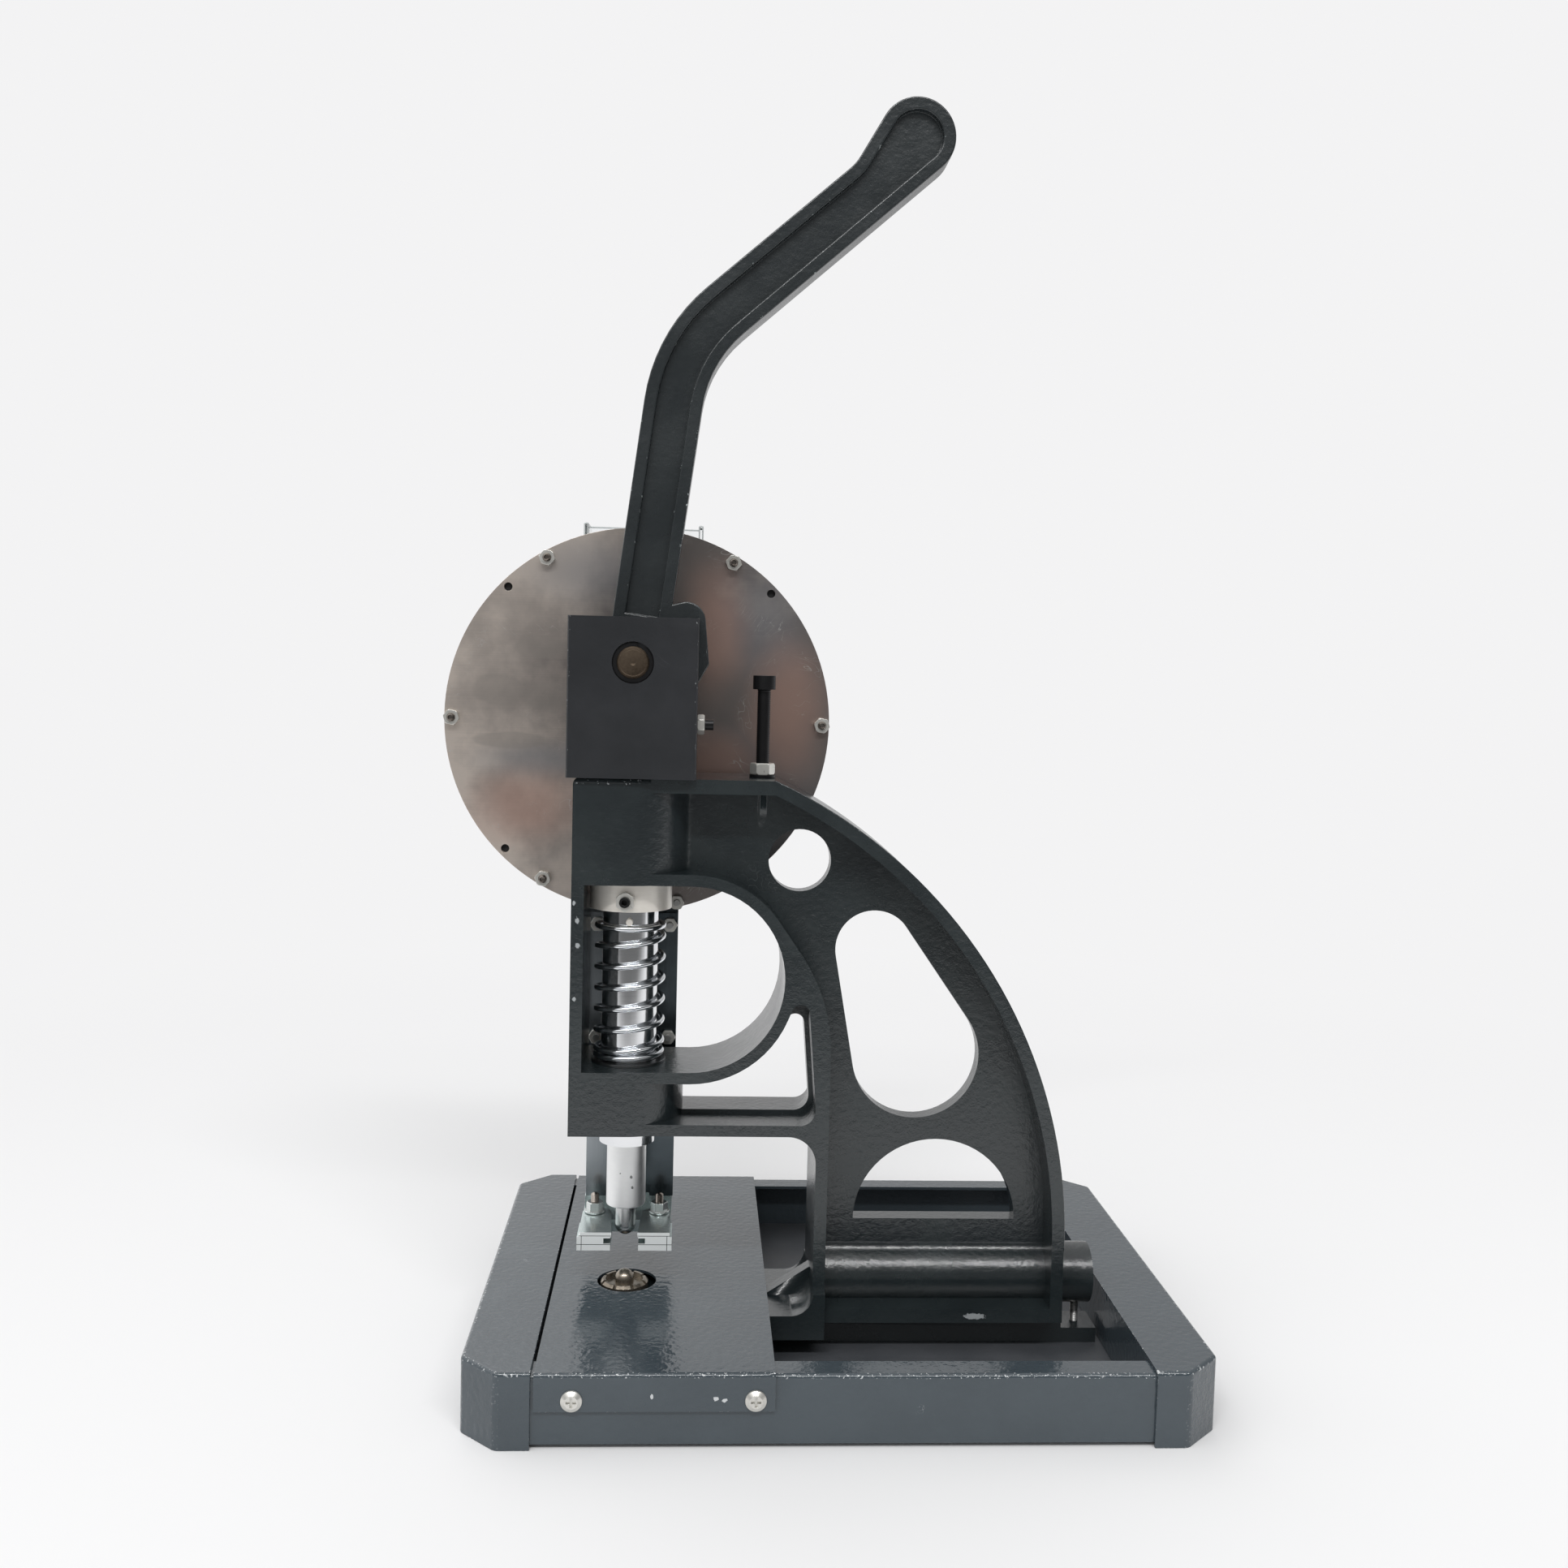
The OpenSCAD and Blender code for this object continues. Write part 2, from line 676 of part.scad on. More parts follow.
// The space that the lever's hub, heel and link swing through
module head_slot() {
    // Hub, heel and open right-hand side
    slab_y(-slot_y, slot_y)
        translate([0, pivot_z])
            union() {
                translate([-hub_r - 0.7, 0])
                    square([head_w, head_h]);
                intersection() {
                    circle(r = heel_reach);
                    translate([-hub_r - 0.7, -heel_reach])
                        square([head_r - wall_t + hub_r + 0.7, heel_reach]);
                }
                translate([head_r - wall_t - 1, -wall_drop])
                    square([wall_t + 2, wall_drop + 1]);
            }
    // Room for the link at the end of the stroke
    slab_y(-link_slot_y, link_slot_y)
        polygon([[-ram_d / 2, frame_top + 4], [ram_d / 2 - 1, frame_top + 4], [head_r - wall_t - 1, pivot_z - 33],
            [head_r - wall_t - 1, pivot_z], [-ram_d / 2, pivot_z]]);
}
module head_lock_hole() {
    bar_x(lock_y, frame_top + lock_z, set_screw_d / 2, spigot_d / 2 - 11, head_r + 1);
}
module head_block() {
    color("#33383b")
        at_ram()
            difference() {
                box([-head_r, -head_r, frame_top], [head_r, head_r, frame_top + head_h]);
                translate([0, 0, frame_top - 1])
                    cylinder(d = spigot_d + 0.2, h = spigot_h + 1.2);
                head_slot();
                translate([0, 0, frame_top - 1])
                    cylinder(r = ram_d / 2 + run_fit, h = ram_top - frame_top + 3);
                bar_y(0, pivot_z, pivot_d / 2, -head_r - 1, head_r + 1);
                for (s = [-1, 1])
                    bar_y(0, pivot_z, pivot_recess_d / 2, s > 0 ? head_r - pivot_recess : -head_r - 1,
                        s > 0 ? head_r + 1 : -head_r + pivot_recess);
                head_lock_hole();
                for (x = bracket_xs, z = bracket_zs)
                    bar_y(x + feed_shift, z, bracket_screw_d / 2, head_r - bracket_bite - 1, head_r + 1);
            }
}
module set_screw_x(x0, x1) {
    difference() {
        bar_x(0, 0, set_screw_d / 2, x0, x1);
        translate([x1 - 3, 0, 0])
            rotate([0, 90, 0])
                hex_z(3, 4);
    }
}
module head_lock_screw() {
    color("#1d1d1e")
        at_ram()
            translate([0, lock_y, frame_top + lock_z])
                set_screw_x(spigot_d / 2 - 11, head_r + nut_t + 5);
}
module head_lock_nut() {
    color("#b8bcc0")
        at_ram()
            translate([head_r, lock_y, frame_top + lock_z])
                rotate([0, 90, 0])
                    difference() {
                        hex_z(nut_af, nut_t);
                        translate([0, 0, -1])
                            cylinder(d = set_screw_d, h = nut_t + 2);
                    }
}
stop_head_d = 13;
stop_head_h = 8;
stop_washer_t = 1.8;
stop_nut_h = 6.5;
stop_play = 0.3;
low_angle = lower_angle - pull_angle;
stop_head_z = pivot_z + (stop_x - stop_head_d / 2) * tan(low_angle) - lever_w / 2 / cos(low_angle)
    - stop_play - stop_head_h;
module stop_screw() {
    color("#1d1d1e")
        at_ram()
            translate([stop_x, 0, 0]) {
                translate([0, 0, frame_top - stop_boss_l + 5])
                    cylinder(d = stop_screw_d, h = stop_head_z - frame_top + stop_boss_l - 5 + eps);
                translate([0, 0, stop_head_z])
                    difference() {
                        cylinder(d = stop_head_d, h = stop_head_h);
                        translate([0, 0, stop_head_h - 4])
                            hex_z(6, 5);
                    }
            }
}
module stop_nut() {
    color("#c9c2b4")
        at_ram()
            translate([stop_x, 0, frame_top + stop_washer_t])
                difference() {
                    hex_z(12.6, stop_nut_h);
                    translate([0, 0, -1])
                        cylinder(d = stop_screw_d, h = stop_nut_h + 2);
                }
}
module stop_washer() {
    color("#1d1d1e")
        at_ram()
            translate([stop_x, 0, frame_top])
                difference() {
                    cylinder(d = 15, h = stop_washer_t);
                    translate([0, 0, -1])
                        cylinder(d = stop_screw_d, h = stop_washer_t + 2);
                }
}
ring_t2 = 1.2;
module pivot_pin() {
    color("#6b5744")
        at_ram()
            difference() {
                bar_y(0, pivot_z, pivot_d / 2, -head_r + 0.4, head_r - 0.4);
                for (s = [-1, 1])
                    translate([0, s * (head_r - pivot_recess + 0.1 + ring_t2 / 2), pivot_z])
                        rotate([90, 0, 0])
                            ring(pivot_d / 2 - 0.8, pivot_d / 2 + 1, ring_t2);
            }
}
// A flat ring with its middle at the origin
module ring(r_in, r_out, h) {
    translate([0, 0, -h / 2])
        difference() {
            cylinder(r = r_out, h = h);
            translate([0, 0, -1])
                cylinder(r = r_in, h = h + 2);
        }
}
// Two open retaining rings in the pin's grooves
module pivot_rings() {
    color("#3a3a3c")
        at_ram()
            for (s = [-1, 1])
                translate([0, s * (head_r - pivot_recess + 0.1 + ring_t2 / 2), pivot_z])
                    rotate([90, 0, 0])
                        difference() {
                            ring(pivot_d / 2 - 0.8, pivot_recess_d / 2 - 0.5, ring_t2);
                            rotate([0, 0, 62])
                                translate([0, -2.5, -ring_t2])
                                    cube([pivot_d, 5, ring_t2 * 2]);
                        }
}

// Lever, drawn with its origin on the pivot, at rest
elbow = along(lower_angle, lower_len, 0);
grip_c = elbow + along(upper_angle, sqrt(upper_len * upper_len - grip_shift * grip_shift), grip_shift);
half_bend = (lower_angle - upper_angle) / 2;
neck_angle = 60;
function elbow_at(s) = elbow + s / cos(half_bend) * [-sin(upper_angle + half_bend), cos(upper_angle + half_bend)];
function lever_outline(inset, start) =
    let (s = lever_w / 2 - inset,
         r = grip_r - inset,
         edge = elbow_at(s),
         tangent = polar(grip_c, r, neck_angle + 90),
         neck = line_meet(edge, upper_angle, tangent, neck_angle))
    concat(
        [along(lower_angle, start, -s)],
        corner_arc(along(lower_angle, start, -s), elbow_at(-s), polar(grip_c, r, upper_angle - 90), elbow_r - s),
        arc_pts(grip_c, r, upper_angle - 90, neck_angle + 90),
        corner_arc(tangent, neck, edge, 26 + inset),
        corner_arc(neck, edge, along(lower_angle, start, s), elbow_r + s),
        [along(lower_angle, start, s)]);
heel_outline = rounded([[0, -hub_r, 0], [27, -hub_r - 1.5, 6], [36, -11, 3], [42, 0, 3],
    [38.2, 38, 11], [12, 31, 4], [0, 20, 0]]);
crank_local = crank_r * [cos(crank_angle), sin(crank_angle)];
channel_start = 27;

module at_pivot() {
    at_ram()
        translate([0, 0, pivot_z])
            children();
}
module lever() {
    color("#2c3234")
        at_pivot()
            difference() {
                union() {
                    slab_y(-lever_half, lever_half)
                        polygon(lever_outline(0, 0));
                    slab_y(-lever_half, lever_half)
                        polygon(heel_outline);
                    bar_y(0, 0, hub_r, -lever_half, lever_half);
                }
                for (s = [-1, 1])
                    slab_y(s > 0 ? lever_half - channel_depth : -lever_half - 1,
                        s > 0 ? lever_half + 1 : -lever_half + channel_depth)
                        polygon(lever_outline(lever_rim, channel_start));
                bar_y(0, 0, pivot_d / 2 + run_fit, -lever_half - 1, lever_half + 1);
                bar_y(crank_local[0], crank_local[1], link_pin_d / 2, -lever_half - 1, lever_half + 1);
                fork_slot();
            }
}
// The slot across the heel for the link's eye and shank
module fork_slot() {
    bar_y(crank_local[0], crank_local[1], eye_d / 2 + 0.7, -link_slot_y, link_slot_y);
    slab_y(-link_slot_y, link_slot_y)
        translate(crank_local)
            polygon([along(270 - link_angle, -eye_d / 2 - 0.7, -link_w / 2 - 0.6),
                along(270 - link_angle, link_l - 6, -link_w / 2 - 0.6),
                [40, -50],
                [40, eye_d / 2 + 0.7],
                [0, eye_d / 2 + 0.7]]);
}
module crank_pin() {
    color("#9a9da0")
        at_pivot()
            bar_y(crank_local[0], crank_local[1], link_pin_d / 2, -lever_half, lever_half);
}
module link() {
    color("#8f9396")
        at_ram()
            difference() {
                union() {
                    bar_y(crank_pos[0], crank_pos[1], eye_d / 2, -link_t / 2, link_t / 2);
                    bar_y(link_low[0], link_low[1], eye_d / 2, -link_t / 2, link_t / 2);
                    slab_y(-link_t / 2, link_t / 2)
                        translate(crank_pos)
                            polygon([for (e = [[0, -1], [link_l, -1], [link_l, 1], [0, 1]])
                                along(270 - link_angle, e[0], e[1] * link_w / 2)]);
                }
                bar_y(crank_pos[0], crank_pos[1], link_pin_d / 2 + run_fit, -link_t, link_t);
                bar_y(link_low[0], link_low[1], link_pin_d / 2, -link_t, link_t);
            }
}
link_pin_half = 12.8;
module link_pin() {
    color("#9a9da0")
        at_ram()
            bar_y(link_low[0], link_low[1], link_pin_d / 2, -link_pin_half, link_pin_half);
}

// Ram
collar_top = window_top - 0.3;
collar_low = collar_top - collar_h;
spring_top = collar_low - 8.3;
spring_low = window_floor + seat_t + 0.3;
stop_pin_d = 4;
sleeve_low = ram_low - sleeve_l;
pilot_tip = sleeve_low - pilot_out;
spigot_r = 9.6;
spigot_l = 22;
pilot_head_d = 14.6;
pilot_head_h = 4;
pilot_seat = sleeve_low + 24;
pilot_head_z = pilot_seat + 0.05;
pilot_rest = 42.7; // the pilot's head and its spring when pressed
pilot_room = pilot_seat + pilot_back + pilot_rest;
pilot_bore_r = pilot_head_d / 2 + 0.3;
link_play = (crank_r - crank_low) / 2 + 0.6;
drop_play = 1.3;

module ram() {
    color("#c9ced2")
        at_ram()
            difference() {
                translate([0, 0, ram_low])
                    cylinder(d = ram_d, h = ram_top - ram_low);
                // Fork for the link
                box([-ram_d, -link_t / 2 - slide_gap, link_low[1] - eye_d / 2 - 1.2],
                    [ram_d, link_t / 2 + slide_gap, ram_top + 1]);
                // Cross slot for the link pin
                box([-link_play - link_pin_d / 2, -ram_d, link_low[1] - link_pin_d / 2 - drop_play],
                    [link_play + link_pin_d / 2, ram_d, link_low[1] + link_pin_d / 2 + drop_play]);
                // Sockets for the punch sleeve and the pilot's spring
                translate([0, 0, ram_low - 1])
                    cylinder(r = spigot_r, h = spigot_l + 1);
                translate([0, 0, ram_low])
                    cylinder(r = pilot_bore_r, h = pilot_room - ram_low);
                bar_y(0, spring_top + stop_pin_d / 2, stop_pin_d / 2, -ram_d, ram_d);
            }
}
module shaft_collar() {
    color("#c4bdb2")
        at_ram()
            difference() {
                translate([0, 0, collar_low])
                    cylinder(d = collar_d, h = collar_h);
                translate([0, 0, collar_low - 1])
                    cylinder(d = ram_d, h = collar_h + 2);
                at_collar_screw()
                    bar_x(0, 0, set_screw_d / 2, 0, collar_d);
            }
}
module at_collar_screw() {
    translate([0, 0, collar_low + collar_h * 0.4])
        rotate([0, 0, -95])
            children();
}
module collar_screw() {
    color("#1d1d1e")
        at_ram()
            at_collar_screw()
                set_screw_x(ram_d / 2, collar_d / 2 + nut_t + 2.5);
}
module collar_nut() {
    color("#b8bcc0")
        at_ram()
            at_collar_screw()
                translate([collar_d / 2 + 0.1, 0, 0])
                    rotate([0, 90, 0])
                        difference() {
                            hex_z(nut_af, nut_t);
                            translate([0, 0, -1])
                                cylinder(d = set_screw_d, h = nut_t + 2);
                        }
}
module spring_stop_pin() {
    color("#b0a898")
        at_ram()
            bar_y(0, spring_top + stop_pin_d / 2, stop_pin_d / 2, -ram_d / 2 - 3.5, ram_d / 2 + 3.5);
}

// A coil of round wire along Z: closed turns at each end and open turns between
coil_rings = 8;
coil_sides = 6;
function coil_rise(t, low_turns, turns, shut, open) =
    t < low_turns ? t * shut : low_turns * shut + (min(t, low_turns + turns) - low_turns) * open;
function coil_centres(d, z0, low_turns, turns, top_turns, shut, open, wire) =
    let (n = round((low_turns + turns + top_turns) * coil_rings),
         pts = [for (i = [0:n])
             let (t = i / coil_rings, a = 360 * (t - low_turns - turns) + 180)
             [d / 2 * cos(a), d / 2 * sin(a), z0 + coil_rise(t, low_turns, turns, shut, open)]],
         tail = function (p) wire * unit([-p[1], p[0], 0]))
    concat([pts[0] - tail(pts[0])], pts, [pts[n] + tail(pts[n])]);
function ring_of(p, d, wire) =
    let (out = unit([p[0], p[1], 0]) )
    [for (k = [0:coil_sides - 1])
        p + wire / 2 * (cos(360 * k / coil_sides) * out + [0, 0, sin(360 * k / coil_sides)])];
function least_gap(c, wire) =
    min([for (i = [0:len(c) - 1], j = [i + 5:1:len(c) - 1]) norm(c[i] - c[j])]) - wire;
module coil(centres, d, wire) {
    n = len(centres);
    m = coil_sides;
    faces = concat(
        [for (i = [0:n - 2], k = [0:m - 1]) [i * m + k, (i + 1) * m + k, i * m + (k + 1) % m]],
        [for (i = [0:n - 2], k = [0:m - 1]) [(i + 1) * m + k, (i + 1) * m + (k + 1) % m, i * m + (k + 1) % m]],
        [for (k = [1:m - 2]) [0, k, k + 1]],
        [for (k = [1:m - 2]) [(n - 1) * m, (n - 1) * m + k + 1, (n - 1) * m + k]]);
    polyhedron(points = [for (p = centres) each ring_of(p, d, wire)], faces = faces, convexity = 10);
}
shut_gap = 0.7;
low_turns = 1.2;
top_turns = 0.6;
coil_shut = spring_wire + shut_gap;
coil_z0 = spring_low + spring_wire / 2;
coil_open = (spring_top - spring_wire / 2 - 0.3 - coil_z0 - low_turns * coil_shut) / spring_turns;
return_centres = coil_centres(spring_d, coil_z0, low_turns, spring_turns, top_turns,
    coil_shut, coil_open, spring_wire);
echo("return spring, least gap to itself in mm", least_gap(return_centres, spring_wire));
module return_spring() {
    color("#c9ced2")
        at_ram()
            coil(return_centres, spring_d, spring_wire);
}
module spring_seat() {
    color("#1f2123")
        at_ram()
            translate([0, 0, window_floor])
                difference() {
                    cylinder(d = spring_d + spring_wire + 1.6, h = seat_t);
                    translate([0, 0, -1])
                        cylinder(r = ram_d / 2 + slide_gap, h = seat_t + 2);
                }
}

// Punch, pilot and die
module punch_sleeve() {
    color("#b9bbbb")
        at_ram()
            difference() {
                union() {
                    translate([0, 0, sleeve_low])
                        cylinder(d = sleeve_d, h = sleeve_l);
                    translate([0, 0, ram_low])
                        cylinder(r = spigot_r, h = spigot_l);
                }
                translate([0, 0, sleeve_low - 1])
                    cylinder(r = pilot_d / 2 + run_fit, h = sleeve_l);
                translate([0, 0, pilot_seat])
                    cylinder(r = pilot_bore_r, h = sleeve_l + spigot_l);
            }
}
module pilot_pin() {
    color("#a9acac")
        at_ram() {
            translate([0, 0, pilot_tip + pilot_d / 2])
                rotate_extrude()
                    intersection() {
                        circle(d = pilot_d);
                        translate([0, -pilot_d])
                            square([pilot_d, pilot_d + eps]);
                    }
            translate([0, 0, pilot_tip + pilot_d / 2])
                cylinder(d = pilot_d, h = pilot_head_z - pilot_tip - pilot_d / 2 + eps);
            translate([0, 0, pilot_head_z])
                cylinder(d = pilot_head_d, h = pilot_head_h);
        }
}
pilot_wire = 1.4;
pilot_turns = 9;
pilot_coil_d = pilot_head_d - pilot_wire - 0.4;
pilot_coil_z0 = pilot_head_z + pilot_head_h + 0.3 + pilot_wire / 2;
pilot_coil_len = pilot_room - pilot_coil_z0 - pilot_wire / 2 - 0.3;
pilot_centres = coil_centres(pilot_coil_d, pilot_coil_z0, 1, pilot_turns, top_turns, pilot_wire + 0.5,
    (pilot_coil_len - pilot_wire - 0.5) / pilot_turns, pilot_wire);
echo("pilot spring, least gap to itself in mm", least_gap(pilot_centres, pilot_wire));
module pilot_spring() {
    color("#9ea3a6")
        at_ram()
            coil(pilot_centres, pilot_coil_d, pilot_wire);
}
die_low = 13;
nose_seat = 8;
module die_bore() {
    translate([0, 0, die_low])
        cylinder(d = die_shank_d, h = arm_top);
}
module lower_die() {
    color("#8c8576")
        at_ram()
            difference() {
                union() {
                    translate([0, 0, arm_top])
                        cylinder(d = die_d, h = die_top - arm_top - 1.5);
                    translate([0, 0, die_top - 1.5])
                        cylinder(d1 = die_d, d2 = die_d - 3, h = 1.5);
                    translate([0, 0, die_low])
                        cylinder(d = die_shank_d, h = arm_top - die_low + eps);
                }
                // Rolling groove round the button
                translate([0, 0, die_top - 2.6])
                    ring_cut(nose_d / 2, die_d / 2 - 3, 4);
                translate([0, 0, arm_top - nose_seat])
                    cylinder(d = nose_d, h = die_top);
                for (i = [0:die_petals - 1])
                    rotate([0, 0, (i + 0.5) * 360 / die_petals])
                        translate([die_d / 2 - 6.2, -1, die_top - 1.6])
                            cube([7, 2, 3]);
            }
}
module ring_cut(r_in, r_out, h) {
    difference() {
        cylinder(r = r_out, h = h);
        translate([0, 0, -1])
            cylinder(r = r_in, h = h + 2);
    }
}
module die_button() {
    color("#a59b86")
        at_ram() {
            translate([0, 0, arm_top - nose_seat])
                cylinder(d = nose_d, h = die_top - arm_top + nose_seat);
            translate([0, 0, die_top])
                sphere(d = nose_d);
        }
}

// Hopper and its bracket
drum_d = disc_d - 2 * drum_in;
disc_y0 = head_r + disc_gap;
drum_y0 = disc_y0 + disc_t;
drum_flange_t = 1.5;
cover_y0 = drum_y0 + drum_depth;
cover_y1 = cover_y0 + cover_t;
bracket_w = 50;
bracket_h = 70;
bracket_low = frame_top + 8;
bracket_screw_d = 5;
bracket_bite = 9;
bracket_head_r = 4.5;
bracket_xs = [-18, 18];
bracket_zs = [bracket_low + 10, bracket_low + bracket_h - 10];
rim_screw_d = 5;
shaft_d = 10;
knob_d = 46;
knob_t = 22;
outlet_w = chute_w + 10;
outlet_top = disc_z - disc_d / 2 + 24;
outlet_low = disc_z - disc_d / 2 + 10;
hanger_x = 25.5;
hanger_z = disc_z - disc_d / 2 + 6;

module at_disc() {
    at_feed()
        translate([0, 0, disc_z])
            children();
}
module rim_places(angles) {
    for (a = angles)
        translate([rim_screw_r * cos(a), 0, rim_screw_r * sin(a)])
            children();
}
nut_angles = [for (i = [0:5]) i * 60];
bare_angles = [45, 135, 225, 315];
module hopper_disc() {
    color("#8d8986")
        difference() {
            at_disc()
                difference() {
                    bar_y(0, 0, disc_d / 2, disc_y0, drum_y0);
                    rim_places(concat(nut_angles, bare_angles))
                        bar_y(0, 0, rim_screw_d / 2, disc_y0 - 1, drum_y0 + 1);
                }
            at_feed() {
                for (x = bracket_xs, z = bracket_zs)
                    bar_y(x, z, bracket_screw_d / 2, disc_y0 - 1, drum_y0 + 1);
                for (x = [-hanger_x, hanger_x])
                    bar_y(x, hanger_z, 2, disc_y0 - 1, drum_y0 + 1);
            }
        }
}
module hopper_drum() {
    color("#9aa0a3")
        at_disc()
            difference() {
                union() {
                    bar_y(0, 0, drum_d / 2, drum_y0, cover_y0);
                    bar_y(0, 0, disc_d / 2 - 0.5, drum_y0, drum_y0 + drum_flange_t);
                }
                bar_y(0, 0, drum_d / 2 - drum_t, drum_y0 - 1, cover_y0 + 1);
                rim_places(nut_angles)
                    bar_y(0, 0, rim_screw_d / 2, drum_y0 - 1, cover_y0);
                box([-outlet_w / 2 - 0.2, drum_y0 - 1, -disc_d / 2], [outlet_w / 2 + 0.2, cover_y0 + 1, -drum_d / 4]);
            }
}
module hopper_cover() {
    color("#d7e6ee", 0.35)
        at_disc()
            difference() {
                bar_y(0, 0, disc_d / 2, cover_y0, cover_y1);
                rim_places(nut_angles)
                    bar_y(0, 0, rim_screw_d / 2, cover_y0 - 1, cover_y1 + 1);
                bar_y(0, 0, shaft_d / 2 + run_fit, cover_y0 - 1, cover_y1 + 1);
                // Way in from the filler box
                box([filler_t - filler_w / 2, cover_y0 - 1, filler_top - filler_h + filler_t - disc_z],
                    [filler_w / 2 - filler_t, cover_y1 + 1, drum_d / 2 - drum_t - 18]);
            }
}
module filler_box() {
    color("#d7e6ee", 0.35)
        at_feed()
            difference() {
                box([-filler_w / 2, cover_y1, filler_top - filler_h], [filler_w / 2, cover_y1 + filler_y, filler_top]);
                box([filler_t - filler_w / 2, cover_y1 - 1, filler_top - filler_h + filler_t],
                    [filler_w / 2 - filler_t, cover_y1 + filler_y - filler_t, filler_top + 1]);
            }
}
rotor_y0 = drum_y0 + 6;
rotor_y1 = cover_y0 - 2;
paddle_play = 19;
paddle_r = drum_d / 2 - drum_t - paddle_play;
module rotor() {
    color("#c9c3b4")
        at_disc()
            difference() {
                union() {
                    bar_y(0, 0, 17, rotor_y0, rotor_y1);
                    for (i = [0:5])
                        rotate([0, i * 60 + 15, 0])
                            box([0, rotor_y0, -3], [paddle_r, rotor_y1 - 4, 3]);
                }
                bar_y(0, 0, shaft_d / 2, rotor_y0 - 1, rotor_y1 + 1);
            }
}
knob_y0 = cover_y1 + 3;
module rotor_shaft() {
    color("#a9acac")
        at_disc()
            bar_y(0, 0, shaft_d / 2, rotor_y0, knob_y0 + knob_t - 6);
}
module rotor_knob() {
    color("#242424")
        at_disc()
            difference() {
                bar_y(0, 0, knob_d / 2, knob_y0, knob_y0 + knob_t);
                bar_y(0, 0, shaft_d / 2, knob_y0 - 1, knob_y0 + knob_t - 6);
                for (i = [0:11])
                    rotate([0, i * 30, 0])
                        bar_y(knob_d / 2 + 2.2, 0, 4, knob_y0 + 5, knob_y0 + knob_t + 1);
            }
}
rim_head_h = 3;
module rim_screws() {
    color("#9a9da0")
        at_disc()
            rim_places(nut_angles) {
                bar_y(0, 0, rim_screw_d / 2, disc_y0 - 6, cover_y1 + eps);
                bar_y(0, 0, 4.4, cover_y1, cover_y1 + rim_head_h);
            }
}
module rim_nuts() {
    color("#c3c1bb")
        at_disc()
            rim_places(nut_angles)
                translate([0, disc_y0, 0])
                    rotate([90, rim_nut_turn, 0])
                        difference() {
                            hex_z(rim_nut_af, nut_t);
                            translate([0, 0, -1])
                                cylinder(d = rim_screw_d, h = nut_t + 2);
                        }
}
module hopper_bracket() {
    color("#555b5f")
        at_feed()
            difference() {
                box([-bracket_w / 2, head_r, bracket_low], [bracket_w / 2, disc_y0, bracket_low + bracket_h]);
                for (x = bracket_xs, z = bracket_zs)
                    bar_y(x, z, bracket_screw_d / 2, head_r - 1, disc_y0 + 1);
                bar_y(-feed_shift, pivot_z, pivot_recess_d / 2, head_r - 1, disc_y0 + 1);
            }
}
module bracket_screws() {
    color("#9a9da0")
        at_feed()
            for (x = bracket_xs, z = bracket_zs) {
                bar_y(x, z, bracket_screw_d / 2, head_r - bracket_bite, drum_y0 + eps);
                bar_y(x, z, bracket_head_r, drum_y0, drum_y0 + 2.5);
            }
}

// Chute
chute_half = chute_w / 2;
chute_y0 = disc_y0 - 2;
rail_y0 = chute_y0 + 2;
rail_y1 = rail_y0 + 6;
chute_y1 = rail_y1 + 2;
lip_over = 4;
chute_top = disc_z - disc_d / 2 - 0.5;
chute_screw_x = 21.7;
chute_screw_zs = [window_floor + 3.9, chute_top - 7];
chute_screw_d = 4;
chute_head_r = 3.6;
chute_head_h = 2.4;
chute_nut_af = 8;
chute_nut_t = 3.2;
spacer_z0 = strut_top + 1;
spacer_h = ring_z - ring_out - 0.5 - spacer_z0;
module chute_back() {
    color("#9aa3aa")
        at_feed()
            difference() {
                union() {
                    box([-chute_half, rail_y1, chute_low], [chute_half, chute_y1, outlet_top]);
                    box([-outlet_w / 2, rail_y1, outlet_low], [outlet_w / 2, chute_y1, outlet_top]);
                }
                chute_holes(rail_y1 - 1, chute_y1 + 1);
            }
}
module chute_holes(y0, y1) {
    for (x = [-chute_screw_x, chute_screw_x], z = chute_screw_zs)
        bar_y(x, z, chute_screw_d / 2, y0, y1);
    for (x = [-hanger_x, hanger_x])
        bar_y(x, hanger_z, chute_screw_d / 2, y0, y1);
}
module chute_rails() {
    color("#a7afb5")
        at_feed()
            difference() {
                for (m = [0, 1])
                    mirror([m, 0, 0]) {
                        box([channel_w / 2, rail_y0, chute_low], [chute_half, rail_y1, chute_top]);
                        box([channel_w / 2, drum_y0, chute_top - eps], [chute_half, rail_y1, outlet_top]);
                        box([channel_w / 2, drum_y0, outlet_low], [outlet_w / 2, rail_y1, outlet_top]);
                    }
                chute_holes(rail_y0 - 1, rail_y1 + 1);
            }
}
module chute_lips() {
    color("#b4babf")
        at_feed()
            difference() {
                for (m = [0, 1])
                    mirror([m, 0, 0])
                        box([channel_w / 2 - lip_over, chute_y0, chute_low + 8], [chute_half, rail_y0, chute_top]);
                chute_holes(chute_y0 - 1, rail_y0 + 1);
            }
}
module chute_screws() {
    color("#9a9da0")
        at_feed() {
            for (x = [-chute_screw_x, chute_screw_x], z = chute_screw_zs) {
                bar_y(x, z, chute_screw_d / 2, chute_y0 - chute_nut_t - 1.8, chute_y1 + eps);
                bar_y(x, z, chute_head_r, chute_y1, chute_y1 + chute_head_h);
            }
            for (x = [-hanger_x, hanger_x]) {
                bar_y(x, hanger_z, chute_screw_d / 2, disc_y0 - chute_nut_t - 1.8, chute_y1 + eps);
                bar_y(x, hanger_z, chute_head_r, chute_y1, chute_y1 + chute_head_h);
            }
        }
}
